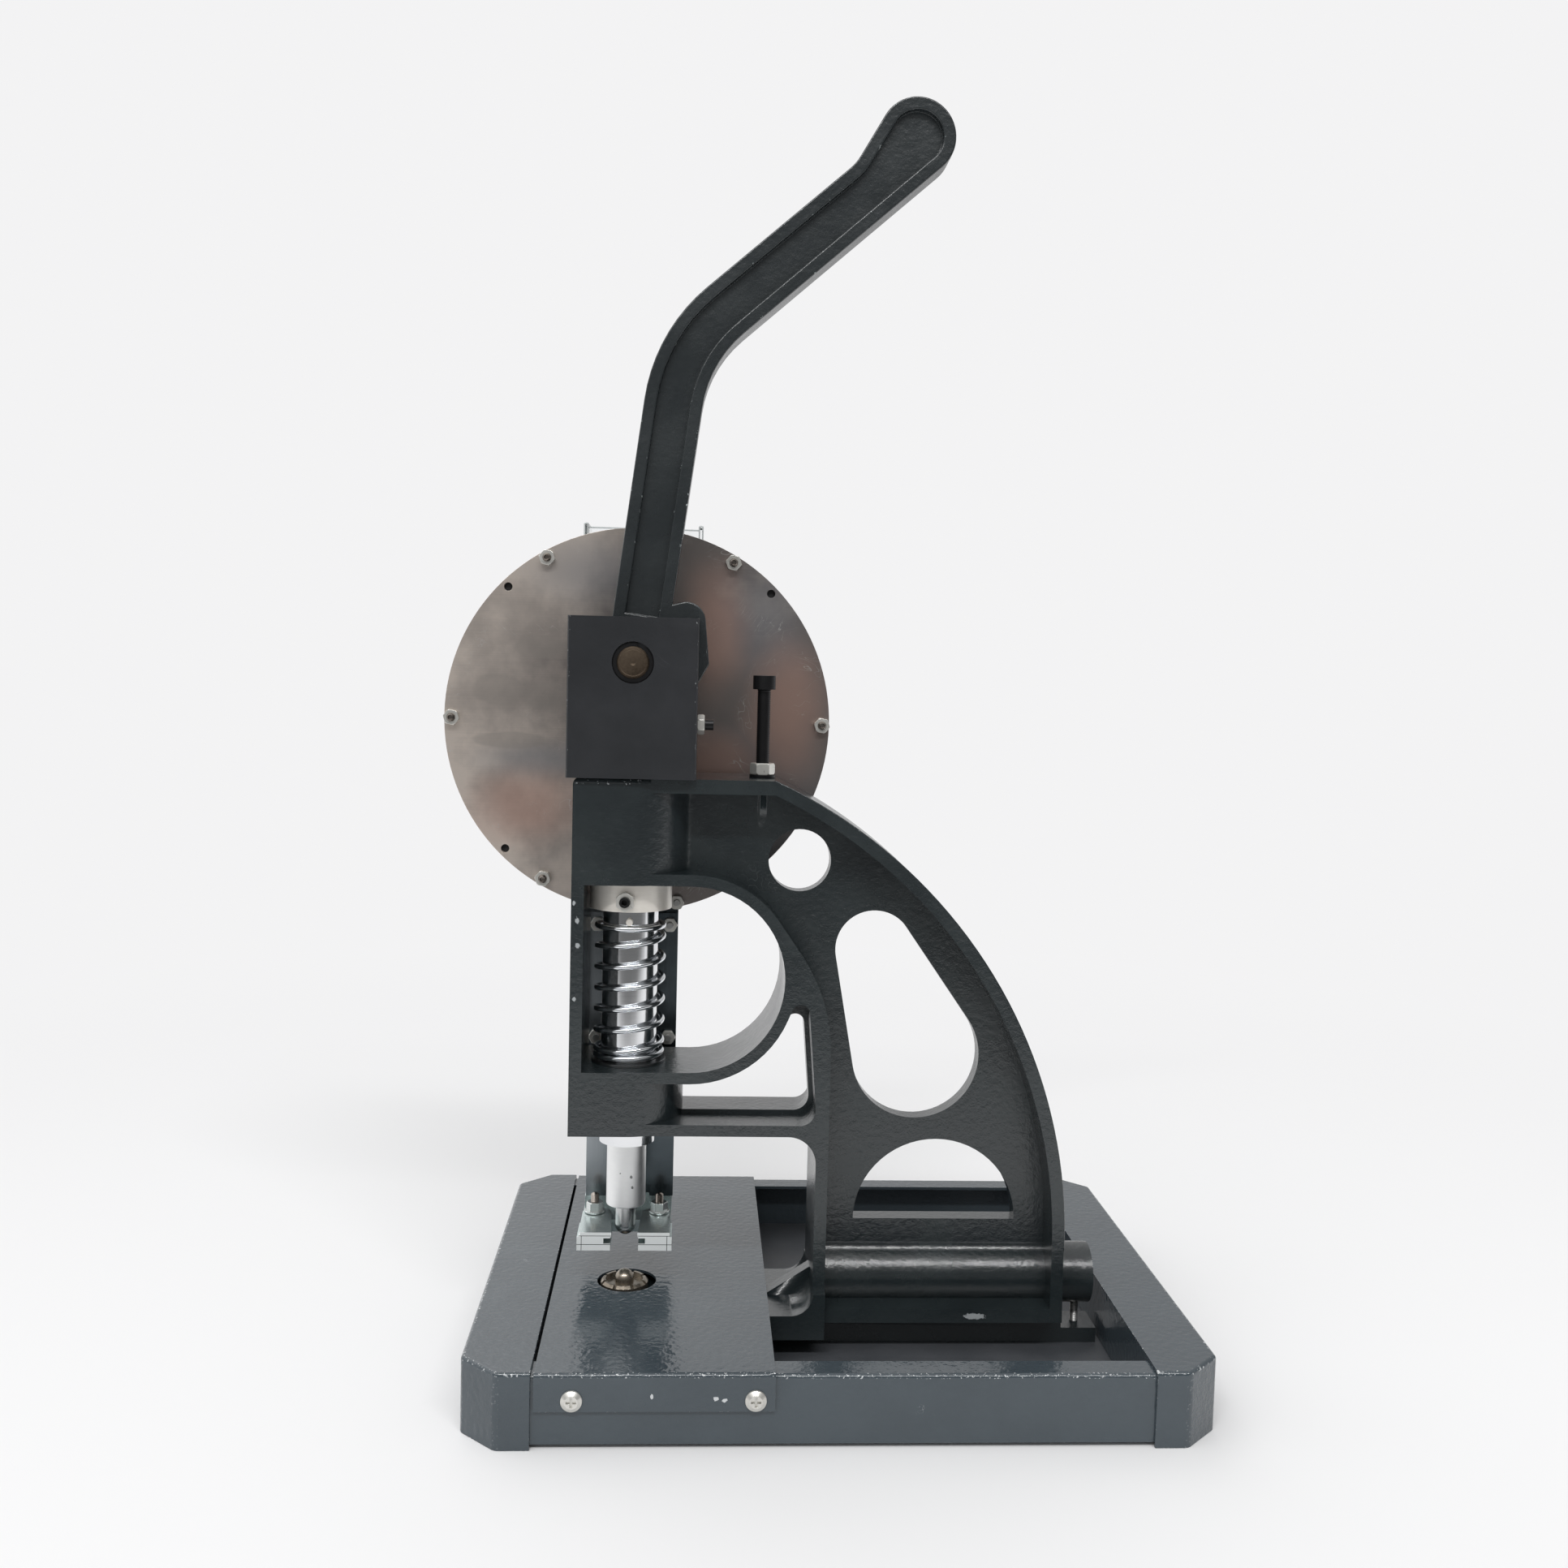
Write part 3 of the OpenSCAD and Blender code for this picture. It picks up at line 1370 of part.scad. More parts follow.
module chute_nut() {
    rotate([90, 0, 0])
        difference() {
            hex_z(chute_nut_af, chute_nut_t);
            translate([0, 0, -1])
                cylinder(d = chute_screw_d, h = chute_nut_t + 2);
        }
}
module chute_nuts() {
    color("#c3c1bb")
        at_feed() {
            for (x = [-chute_screw_x, chute_screw_x], z = chute_screw_zs)
                translate([x, chute_y0, z])
                    chute_nut();
            for (x = [-hanger_x, hanger_x])
                translate([x, disc_y0, hanger_z])
                    chute_nut();
        }
}
// Stands the chute off the back of the lower boss
module chute_spacer() {
    color("#8b9094")
        at_feed()
            difference() {
                for (m = [0, 1])
                    mirror([m, 0, 0])
                        box([channel_w / 2 - lip_over, boss_r - 6, spacer_z0],
                            [channel_w / 2 + 8, chute_y0, spacer_z0 + spacer_h]);
                translate([-feed_shift, 0, spacer_z0 - 1]) {
                    cylinder(r = boss_r + seat_gap, h = spacer_h + 2);
                    translate([-boss_r * 2, 0, 0])
                        cube([boss_r * 2, boss_r + seat_gap, spacer_h + 2]);
                }
            }
}

// Jaws
jaw_w = 18.9;
jaw_low = jaw_top - jaw_t - jaw_rail_h;
jaw_screw_d = 5;
jaw_nut_h = 5;
jaw_washer_t = 1.2;
jaw_washer_d = 12.4;
jaw_stub = 5.3;
rail_front = jaw_pivot_y - jaw_len;
rail_back = jaw_pivot_y - 12;
base_front = jaw_pivot_y - 6;
groove_h = 3.2;
groove_in = 4.5;
jaw_base_y1 = rail_y1;
module jaw_base() {
    color("#8f979d")
        at_ram()
            difference() {
                union() {
                    box([-chute_half, base_front, jaw_low + 0.5], [chute_half, jaw_base_y1, jaw_top - jaw_t - 0.3]);
                    box([-chute_half, rail_y0, jaw_top - jaw_t - 1], [-channel_w / 2, jaw_base_y1, chute_low]);
                    box([channel_w / 2, rail_y0, jaw_top - jaw_t - 1], [chute_half, jaw_base_y1, chute_low]);
                    box([-chute_half, rail_y1, jaw_low + 0.5], [chute_half, chute_y1, chute_low]);
                }
                for (x = [-jaw_pivot_x, jaw_pivot_x])
                    translate([x, jaw_pivot_y, jaw_low - 1])
                        cylinder(d = jaw_screw_d, h = jaw_top);
            }
}
// The right-hand jaw, drawn about the ram axis
module jaw() {
    difference() {
        union() {
            linear_extrude(jaw_t)
                polygon(rounded([[jaw_gap, rail_front, 0], [jaw_gap + jaw_w, rail_front, 1],
                    [jaw_gap + jaw_w, jaw_pivot_y + 6, 6], [jaw_gap + 2, jaw_pivot_y + 6, 6]]));
            difference() {
                box([jaw_gap + 0.6, rail_front, -jaw_rail_h], [jaw_gap + jaw_w + 1, rail_back, eps]);
                box([jaw_gap - 1, rail_front - 1, -groove_h - 0.8], [jaw_gap + groove_in, rail_back + 1, -0.8]);
            }
        }
        translate([jaw_pivot_x, jaw_pivot_y, -jaw_t])
            cylinder(r = jaw_screw_d / 2 + run_fit, h = jaw_t * 3);
    }
}
module jaw_right() {
    color("#aeb9bd")
        at_ram()
            translate([0, 0, jaw_top - jaw_t])
                jaw();
}
module jaw_left() {
    color("#aeb9bd")
        at_ram()
            translate([0, 0, jaw_top - jaw_t])
                mirror([1, 0, 0])
                    jaw();
}
module jaw_screws() {
    color("#9a9da0")
        at_ram()
            for (x = [-jaw_pivot_x, jaw_pivot_x])
                translate([x, jaw_pivot_y, jaw_low + 0.5])
                    cylinder(d = jaw_screw_d, h = jaw_top + jaw_washer_t + jaw_nut_h + jaw_stub - jaw_low);
}
module jaw_nuts() {
    color("#c3c1bb")
        at_ram()
            for (x = [-jaw_pivot_x, jaw_pivot_x])
                translate([x, jaw_pivot_y, jaw_top + 0.3])
                    difference() {
                        union() {
                            cylinder(d = jaw_washer_d, h = jaw_washer_t);
                            hex_z(9, jaw_washer_t + jaw_nut_h);
                        }
                        translate([0, 0, -1])
                            cylinder(d = jaw_screw_d, h = jaw_nut_h + 3);
                    }
}

base_cap_left();
base_cap_right();
base_rail_front();
base_rail_back();
base_floor();
table_plate();
table_screws();
bed_bolts();
rear_screw();
frame_casting();
head_block();
head_lock_screw();
head_lock_nut();
stop_screw();
stop_nut();
stop_washer();
pivot_pin();
pivot_rings();
lever();
crank_pin();
link();
link_pin();
ram();
shaft_collar();
collar_screw();
collar_nut();
spring_stop_pin();
return_spring();
spring_seat();
punch_sleeve();
pilot_pin();
pilot_spring();
lower_die();
die_button();
chute_back();
chute_rails();
chute_lips();
chute_screws();
chute_nuts();
chute_spacer();
jaw_base();
jaw_left();
jaw_right();
jaw_screws();
jaw_nuts();
hopper_disc();
hopper_drum();
hopper_cover();
filler_box();
rotor();
rotor_shaft();
rotor_knob();
rim_screws();
rim_nuts();
hopper_bracket();
bracket_screws();
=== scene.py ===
import json
import math

import bmesh
import bpy
from mathutils import Matrix, Vector


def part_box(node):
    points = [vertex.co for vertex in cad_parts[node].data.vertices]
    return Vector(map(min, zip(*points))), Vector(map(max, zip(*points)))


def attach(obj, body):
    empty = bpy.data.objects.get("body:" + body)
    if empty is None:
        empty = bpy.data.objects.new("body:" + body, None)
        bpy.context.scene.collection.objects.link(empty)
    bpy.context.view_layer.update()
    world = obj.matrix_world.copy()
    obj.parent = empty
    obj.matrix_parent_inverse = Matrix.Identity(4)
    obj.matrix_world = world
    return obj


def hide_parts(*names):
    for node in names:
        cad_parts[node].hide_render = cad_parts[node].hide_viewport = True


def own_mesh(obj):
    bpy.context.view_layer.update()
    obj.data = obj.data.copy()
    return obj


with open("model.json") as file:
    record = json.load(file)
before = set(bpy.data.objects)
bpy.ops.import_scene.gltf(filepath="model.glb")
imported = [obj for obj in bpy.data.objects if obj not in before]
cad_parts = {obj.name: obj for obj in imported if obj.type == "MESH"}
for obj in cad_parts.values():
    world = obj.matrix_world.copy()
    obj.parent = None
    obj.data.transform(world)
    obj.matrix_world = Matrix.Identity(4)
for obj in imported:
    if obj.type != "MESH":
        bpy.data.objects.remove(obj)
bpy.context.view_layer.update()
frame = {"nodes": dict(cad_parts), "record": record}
nodes = frame["nodes"]
bodyOfNode = {node: body for body, members in frame["record"]["behaviour"]["bodies"].items()
              for node in members}
slotOfNode = {part["node"]: part["material_slot"] for part in frame["record"]["subparts"]}
mm = 0.001
print("frame loaded,", len(nodes), "nodes")

ramAxis = Vector((-0.10257, -0.032, 0))


def middleOf(node):
    low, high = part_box(node)
    return (Vector(low) + Vector(high)) / 2


# Camera, floor and light

# The photograph's own camera, with its place in metres and its angles in radians
view = {
    "place": (-0.0680139, -0.9188763, 0.3997125),
    "pitch": 0.07338654385229233,
    "yaw": 0.0587485964360508,
    "roll": 0.02531924247428183,
    "focalPixels": 1900,
    "framePixels": 1932,
    "sensor": 36,
    "clipStart": 0.01,
}


def setCamera(v):
    cosP, sinP = math.cos(v["pitch"]), math.sin(v["pitch"])
    cosY, sinY = math.cos(v["yaw"]), math.sin(v["yaw"])
    cosR, sinR = math.cos(v["roll"]), math.sin(v["roll"])
    level = Vector((cosY, -sinY, 0))
    ahead = Vector((cosP * sinY, cosP * cosY, -sinP))
    upright = Vector((sinP * sinY, sinP * cosY, cosP))
    right = cosR * level + sinR * upright
    up = cosR * upright - sinR * level
    camera = bpy.data.objects.new("camera", bpy.data.cameras.new("camera"))
    bpy.context.scene.collection.objects.link(camera)
    place = Matrix((right, up, -ahead)).transposed().to_4x4()
    place.translation = Vector(v["place"])
    camera.matrix_world = place
    camera.data.sensor_width = v["sensor"]
    camera.data.lens = v["focalPixels"] / v["framePixels"] * v["sensor"]
    camera.data.clip_start = v["clipStart"]
    bpy.context.scene.camera = camera


def addNode(tree, kind, inputs=None, **settings):
    node = tree.nodes.new(kind)
    for name, value in settings.items():
        setattr(node, name, value)
    for name, value in (inputs or {}).items():
        if isinstance(value, bpy.types.NodeSocket):
            tree.links.new(value, node.inputs[name])
        else:
            node.inputs[name].default_value = value
    return node


def mixColour(tree, amount, a, b, blend="MIX"):
    node = addNode(tree, "ShaderNodeMix", data_type="RGBA", blend_type=blend)
    for socket, value in ((node.inputs[0], amount), (node.inputs[6], a), (node.inputs[7], b)):
        if isinstance(value, bpy.types.NodeSocket):
            tree.links.new(value, socket)
        else:
            socket.default_value = value
    return node.outputs[2]


def calc(tree, operation, a, b=0.0, clamp=False):
    node = addNode(tree, "ShaderNodeMath", {0: a, 1: b}, operation=operation, use_clamp=clamp)
    return node.outputs[0]


def vectorCalc(tree, operation, a, b=(0, 0, 0), output="Vector"):
    return addNode(tree, "ShaderNodeVectorMath", {0: a, 1: b}, operation=operation).outputs[output]


def spread(tree, value, low, high, toLow=0.0, toHigh=1.0):
    node = addNode(
        tree, "ShaderNodeMapRange",
        {"Value": value, "From Min": low, "From Max": high, "To Min": toLow, "To Max": toHigh},
        interpolation_type="SMOOTHSTEP")
    return node.outputs[0]


def objectPlace(tree):
    return addNode(tree, "ShaderNodeTexCoord").outputs["Object"]


def axesOf(tree, vector):
    return addNode(tree, "ShaderNodeSeparateXYZ", {"Vector": vector}).outputs


studio = {
    "backdrop": (0.898, 0.896, 0.902, 1),
    "front": (0.76, 0.76, 0.76, 1),
    "mirrorFront": (0.15, 0.15, 0.15, 1),
    "behind": (0.898, 0.896, 0.902, 1),
    "overhead": (1.12, 1.12, 1.12, 1),
    "below": (0.75, 0.75, 0.75, 1),
    "frontToBack": (-0.45, 0.35),
    "wallToCeiling": (0.25, 0.75),
    "wallToGround": (-0.05, -0.3),
    "leftToRight": (-0.8, 0.8),
    "worldLevel": 0.68,
    "leftLevel": 1.35,
    "rightLevel": 0.50,
    "key": {"place": (0, 0, 1), "tilt": (38, 0, -40), "strength": 0.22, "spreadAngle": 50},
    "rear": {"place": (0, 0, 1), "tilt": (-42, 0, 14), "strength": 0.20, "spreadAngle": 40},
    "strip": {"place": (0.15, -3.25, 3.86), "tilt": (40, 0, 0), "width": 4.6, "depth": 0.27, "power": 118.0},
    "floorColour": (0.885, 0.885, 0.89, 1),
    "floorSize": 60,
    "floorNear": 0.42,
    "floorFar": 1.3,
    "paperEnd": (-0.50, -1.05),
}


def roomColour(tree, parts, front, s):
    towardsBack = spread(tree, parts["Y"], *s["frontToBack"])
    room = mixColour(tree, towardsBack, front, s["behind"])
    room = mixColour(tree, spread(tree, parts["Z"], *s["wallToCeiling"]), room, s["overhead"])
    return mixColour(tree, spread(tree, parts["Z"], *s["wallToGround"]), room, s["below"])


def makePaper(s):
    paper = bpy.data.materials.new("paper")
    paper.use_nodes = True
    tree = paper.node_tree
    shader = tree.nodes["Principled BSDF"]
    shader.inputs["Base Color"].default_value = s["floorColour"]
    shader.inputs["Roughness"].default_value = 1.0
    shader.inputs["Specular IOR Level"].default_value = 0.0
    # Far from the object the paper runs into the backdrop
    place = objectPlace(tree)
    away = vectorCalc(tree, "LENGTH", place, output="Value")
    path = addNode(tree, "ShaderNodeLightPath")
    seen = calc(tree, "ADD", path.outputs["Is Camera Ray"], path.outputs["Is Glossy Ray"], clamp=True)
    seen = calc(tree, "ADD", seen, path.outputs["Is Transmission Ray"], clamp=True)
    far = calc(tree, "MULTIPLY", seen, spread(tree, away, s["floorNear"], s["floorFar"]))
    glow = addNode(tree, "ShaderNodeEmission", {"Color": s["backdrop"], "Strength": 1.0})
    both = addNode(tree, "ShaderNodeMixShader", {0: far, 1: shader.outputs[0], 2: glow.outputs[0]})
    # In front the paper ends, and the gloss shows the darker room there
    ended = spread(tree, axesOf(tree, place)["Y"], *s["paperEnd"])
    beyond = calc(tree, "MULTIPLY", path.outputs["Is Glossy Ray"], ended)
    dim = addNode(tree, "ShaderNodeEmission", {"Color": s["mirrorFront"], "Strength": 1.0})
    both = addNode(tree, "ShaderNodeMixShader", {0: beyond, 1: both.outputs[0], 2: dim.outputs[0]})
    tree.links.new(both.outputs[0], tree.nodes["Material Output"].inputs["Surface"])
    return paper


def hang(lamp, place, tilt):
    holder = bpy.data.objects.new(lamp.name, lamp)
    holder.location = place
    holder.rotation_euler = [math.radians(a) for a in tilt]
    bpy.context.scene.collection.objects.link(holder)


def setStudio(s):
    world = bpy.data.worlds.new("studioWorld")
    bpy.context.scene.world = world
    world.use_nodes = True
    tree = world.node_tree
    tree.nodes.clear()
    direction = addNode(tree, "ShaderNodeTexCoord").outputs["Generated"]
    parts = axesOf(tree, direction)
    side = spread(tree, parts["X"], *s["leftToRight"], s["leftLevel"], s["rightLevel"])
    path = addNode(tree, "ShaderNodeLightPath")
    glossy = path.outputs["Is Glossy Ray"]
    seen = calc(tree, "ADD", path.outputs["Is Camera Ray"], path.outputs["Is Transmission Ray"], clamp=True)
    level = calc(tree, "MULTIPLY", side, s["worldLevel"])
    room = roomColour(tree, parts, s["front"], s)
    lit = addNode(tree, "ShaderNodeBackground", {"Color": room, "Strength": level})
    # Glossy rays meet the backdrop behind the object and a darker room in front of it
    room = roomColour(tree, parts, s["mirrorFront"], s)
    mirrored = addNode(tree, "ShaderNodeBackground", {"Color": room, "Strength": side})
    shown = addNode(tree, "ShaderNodeBackground", {"Color": s["backdrop"], "Strength": 1.0})
    both = addNode(tree, "ShaderNodeMixShader", {0: glossy, 1: lit.outputs[0], 2: mirrored.outputs[0]})
    both = addNode(tree, "ShaderNodeMixShader", {0: seen, 1: both.outputs[0], 2: shown.outputs[0]})
    addNode(tree, "ShaderNodeOutputWorld", {"Surface": both.outputs[0]})
    for name in ("key", "rear"):
        lamp = bpy.data.lights.new(name + "Light", "SUN")
        lamp.energy = s[name]["strength"]
        lamp.angle = math.radians(s[name]["spreadAngle"])
        hang(lamp, s[name]["place"], s[name]["tilt"])
    strip = bpy.data.lights.new("stripLight", "AREA")
    strip.shape = "RECTANGLE"
    strip.size, strip.size_y = s["strip"]["width"], s["strip"]["depth"]
    strip.energy = s["strip"]["power"]
    hang(strip, s["strip"]["place"], s["strip"]["tilt"])
    bm = bmesh.new()
    bmesh.ops.create_grid(bm, x_segments=1, y_segments=1, size=s["floorSize"] / 2)
    mesh = bpy.data.meshes.new("studioFloor")
    bm.to_mesh(mesh)
    bm.free()
    floor = bpy.data.objects.new("studioFloor", mesh)
    bpy.context.scene.collection.objects.link(floor)
    mesh.materials.append(makePaper(s))
    bpy.context.scene.view_settings.view_transform = "Standard"


setCamera(view)
setStudio(studio)
print("camera, floor and lamps set")


# Effects that several finishes share
def newGroup(name, inputs, outputs):
    group = bpy.data.node_groups.new(name, "ShaderNodeTree")
    for socket, kind, value in inputs:
        made = group.interface.new_socket(socket, in_out="INPUT", socket_type=kind)
        made.default_value = value
    for socket, kind in outputs:
        group.interface.new_socket(socket, in_out="OUTPUT", socket_type=kind)
    return group, group.nodes.new("NodeGroupInput"), group.nodes.new("NodeGroupOutput")


noiseMiddle = 0.5


def noise(tree, place, scale, detail, roughness=0.5):
    values = {"Vector": place, "Scale": scale, "Detail": detail, "Roughness": roughness}
    return addNode(tree, "ShaderNodeTexNoise", values).outputs["Fac"]


peelLook = {"waves": (2.0, 0.45), "fine": 3.7, "grit": (3.0, 0.6), "height": 0.6, "mottle": (22.0, 5.0, 0.6),
            "mottleFrom": (0.3, 0.7)}


def makeOrangePeel(c):
    group, given, out = newGroup(
        "orangePeel",
        [("Scale", "NodeSocketFloat", 320.0), ("Depth", "NodeSocketFloat", 0.25),
         ("Grit", "NodeSocketFloat", 0.2)],
        [("Normal", "NodeSocketVector"), ("Mottle", "NodeSocketFloat")])
    place = objectPlace(group)
    waves = noise(group, place, given.outputs["Scale"], *c["waves"])
    grit = noise(group, place, calc(group, "MULTIPLY", given.outputs["Scale"], c["fine"]), *c["grit"])
    height = calc(group, "ADD", waves, calc(group, "MULTIPLY", grit, given.outputs["Grit"]))
    bump = addNode(group, "ShaderNodeBump",
                   {"Strength": given.outputs["Depth"], "Distance": c["height"] * mm, "Height": height})
    group.links.new(bump.outputs["Normal"], out.inputs["Normal"])
    mottle = spread(group, noise(group, place, *c["mottle"]), *c["mottleFrom"])
    group.links.new(mottle, out.inputs["Mottle"])
    return group


wearLook = {"chips": (4.0, 0.65), "least": 0.78, "share": 0.4, "soft": 0.05}


def makeEdgeWear(c):
    group, given, out = newGroup(
        "edgeWear",
        [("Amount", "NodeSocketFloat", 0.5), ("Chip Scale", "NodeSocketFloat", 260.0)],
        [("Mask", "NodeSocketFloat")])
    rim = addNode(group, "ShaderNodeAttribute", attribute_name="rim").outputs["Fac"]
    chips = noise(group, objectPlace(group), given.outputs["Chip Scale"], *c["chips"])
    limit = calc(group, "SUBTRACT", c["least"], calc(group, "MULTIPLY", given.outputs["Amount"], c["share"]))
    over = spread(group, calc(group, "SUBTRACT", chips, limit), 0.0, c["soft"])
    group.links.new(calc(group, "MULTIPLY", over, rim), out.inputs["Mask"])
    return group


scratchLook = {"bend": (9.0, 1.0), "axis": (0.3, 0.9, 0.2), "stretch": (0.07, 1.0, 1.0), "lines": (1.0, 0.4),
               "wide": 0.010, "patches": (34.0, 3.0), "least": 0.75, "soft": 0.12}


def makeScratches(c):
    group, given, out = newGroup(
        "scratches",
        [("Scale", "NodeSocketFloat", 60.0), ("Amount", "NodeSocketFloat", 0.5),
         ("Turn", "NodeSocketFloat", 0.0)],
        [("Mask", "NodeSocketFloat")])
    place = objectPlace(group)
    bendScale, bendDetail = c["bend"]
    bend = addNode(group, "ShaderNodeTexNoise", {"Vector": place, "Scale": bendScale, "Detail": bendDetail})
    turned = addNode(group, "ShaderNodeVectorRotate",
                     {"Vector": place, "Axis": c["axis"], "Angle": given.outputs["Turn"]},
                     rotation_type="AXIS_ANGLE")
    long = vectorCalc(group, "MULTIPLY", turned.outputs[0], c["stretch"])
    bent = vectorCalc(group, "ADD", long, bend.outputs["Color"])
    lines = noise(group, bent, given.outputs["Scale"], *c["lines"])
    thin = calc(group, "ABSOLUTE", calc(group, "SUBTRACT", lines, noiseMiddle))
    line = spread(group, thin, c["wide"], 0.0)
    patches = noise(group, place, *c["patches"])
    where = calc(group, "SUBTRACT", patches, calc(group, "SUBTRACT", c["least"], given.outputs["Amount"]))
    mask = calc(group, "MULTIPLY", line, spread(group, where, 0.0, c["soft"]))
    group.links.new(mask, out.inputs["Mask"])
    return group


grainLook = {"streaks": (1.0, 3.0, 0.6), "height": 0.05, "cloud": (30.0, 4.0, 0.55), "cloudFrom": (0.3, 0.7)}


def makeGrain(c):
    group, given, out = newGroup(
        "brushGrain",
        [("Stretch", "NodeSocketVector", (8.0, 900.0, 900.0)), ("Depth", "NodeSocketFloat", 0.2)],
        [("Normal", "NodeSocketVector"), ("Streaks", "NodeSocketFloat"), ("Blotches", "NodeSocketFloat")])
    place = objectPlace(group)
    streaks = noise(group, vectorCalc(group, "MULTIPLY", place, given.outputs["Stretch"]), *c["streaks"])
    bump = addNode(group, "ShaderNodeBump",
                   {"Strength": given.outputs["Depth"], "Distance": c["height"] * mm, "Height": streaks})
    group.links.new(bump.outputs["Normal"], out.inputs["Normal"])
    group.links.new(streaks, out.inputs["Streaks"])
    blotches = spread(group, noise(group, place, *c["cloud"]), *c["cloudFrom"])
    group.links.new(blotches, out.inputs["Blotches"])
    return group


orangePeel = makeOrangePeel(peelLook)
edgeWear = makeEdgeWear(wearLook)
scratches = makeScratches(scratchLook)
brushGrain = makeGrain(grainLook)


def useGroup(tree, group, **values):
    node = tree.nodes.new("ShaderNodeGroup")
    node.node_tree = group
    for name, value in values.items():
        node.inputs[name].default_value = value
    return node


def newFinish(name):
    material = bpy.data.materials.new(name)
    material.use_nodes = True
    tree = material.node_tree
    return material, tree, tree.nodes["Principled BSDF"]


def rgba(colour):
    return (*colour, 1.0)


# Finishes

# Spots and the parting line are places in millimetres
paints = {
    "castingPaint": {
        "colour": (0.020, 0.027, 0.029), "shade": (0.014, 0.019, 0.021), "roughness": 0.20, "gloss": 0.80,
        "peel": 330.0, "depth": 0.36, "grit": 0.55, "wear": 0.36, "bare": (0.33, 0.35, 0.36), "chips": 420.0,
        "parting": -31.5,
        "spots": (((99.9, -62, 30.9), (7.5, 3, 2.2)), ((-131, -64, 258), (1.3, 3, 2.8)),
                  ((-130.5, -64, 244), (1.7, 3, 1.8)), ((-133, -64, 268), (1.0, 3, 1.7)),
                  ((-132, -64, 214), (1.3, 3, 1.6)))},
    "headPaint": {
        "colour": (0.021, 0.0225, 0.026), "shade": (0.017, 0.0185, 0.021), "roughness": 0.38, "gloss": 0.5,
        "peel": 420.0, "depth": 0.16, "grit": 0.3, "wear": 0.36, "bare": (0.36, 0.38, 0.38), "chips": 700.0},
    "leverPaint": {
        "colour": (0.022, 0.027, 0.029), "shade": (0.016, 0.020, 0.022), "roughness": 0.24, "gloss": 0.75,
        "peel": 300.0, "depth": 0.38, "grit": 0.35, "wear": 0.36, "bare": (0.30, 0.33, 0.33), "chips": 300.0},
    "basePaint": {
        "colour": (0.053, 0.069, 0.081), "shade": (0.046, 0.060, 0.071), "roughness": 0.12, "gloss": 0.65,
        "peel": 270.0, "depth": 0.50, "grit": 0.12, "wear": 0.48, "bare": (0.55, 0.57, 0.58), "chips": 620.0,
        "spots": (((-82.8, -155, 28.6), (0.9, 2, 1.6)), ((-50, -155, 27.4), (1.8, 2, 1.5)),
                  ((-45.5, -155, 26.6), (1.6, 2, 1.3)), ((178.8, -153.5, 41), (2.6, 2, 1.6)))},
    "floorPaint": {
        "colour": (0.075, 0.080, 0.088), "shade": (0.055, 0.060, 0.067), "roughness": 0.5, "gloss": 0.5,
        "peel": 300.0, "depth": 0.2, "grit": 0.2, "wear": 0.0, "bare": (0.1, 0.1, 0.1), "chips": 300.0},
    "bracketPaint": {
        "colour": (0.09, 0.10, 0.11), "shade": (0.08, 0.09, 0.10), "roughness": 0.4, "gloss": 0.5,
        "peel": 330.0, "depth": 0.2, "grit": 0.2, "wear": 0.2, "bare": (0.4, 0.4, 0.4), "chips": 300.0},
}


spotLook = {"noise": (700.0, 4.0, 0.7), "ragged": 1.6, "edge": (1.62, 1.50)}


def bareSpots(tree, spots, c=spotLook):
    place = objectPlace(tree)
    ragged = calc(tree, "MULTIPLY", noise(tree, place, *c["noise"]), c["ragged"])
    found = None
    for centre, reach in spots:
        offset = vectorCalc(tree, "SUBTRACT", place, [v * mm for v in centre])
        scaled = vectorCalc(tree, "DIVIDE", offset, [v * mm for v in reach])
        away = vectorCalc(tree, "LENGTH", scaled, output="Value")
        mask = spread(tree, calc(tree, "ADD", away, ragged), *c["edge"])
        found = mask if found is None else calc(tree, "MAXIMUM", found, mask)
    return found


partingLook = {"noise": (60.0, 2.0), "wobble": 0.6, "edge": (0.55, 0.2), "shade": 0.3}


def partingLine(tree, middle, c=partingLook):
    place = objectPlace(tree)
    wobble = calc(tree, "SUBTRACT", noise(tree, place, *c["noise"]), noiseMiddle)
    shift = calc(tree, "MULTIPLY", wobble, c["wobble"] * mm)
    off = calc(tree, "SUBTRACT", axesOf(tree, place)["Y"], middle * mm)
    away = calc(tree, "ABSOLUTE", calc(tree, "ADD", off, shift))
    return spread(tree, away, *[edge * mm for edge in c["edge"]])


paintLook = {"scratchScale": 55.0, "scratched": 0.08, "scratchTurn": 0.6, "scratchShows": 0.35,
             "smoother": 0.05, "rougher": 0.10}


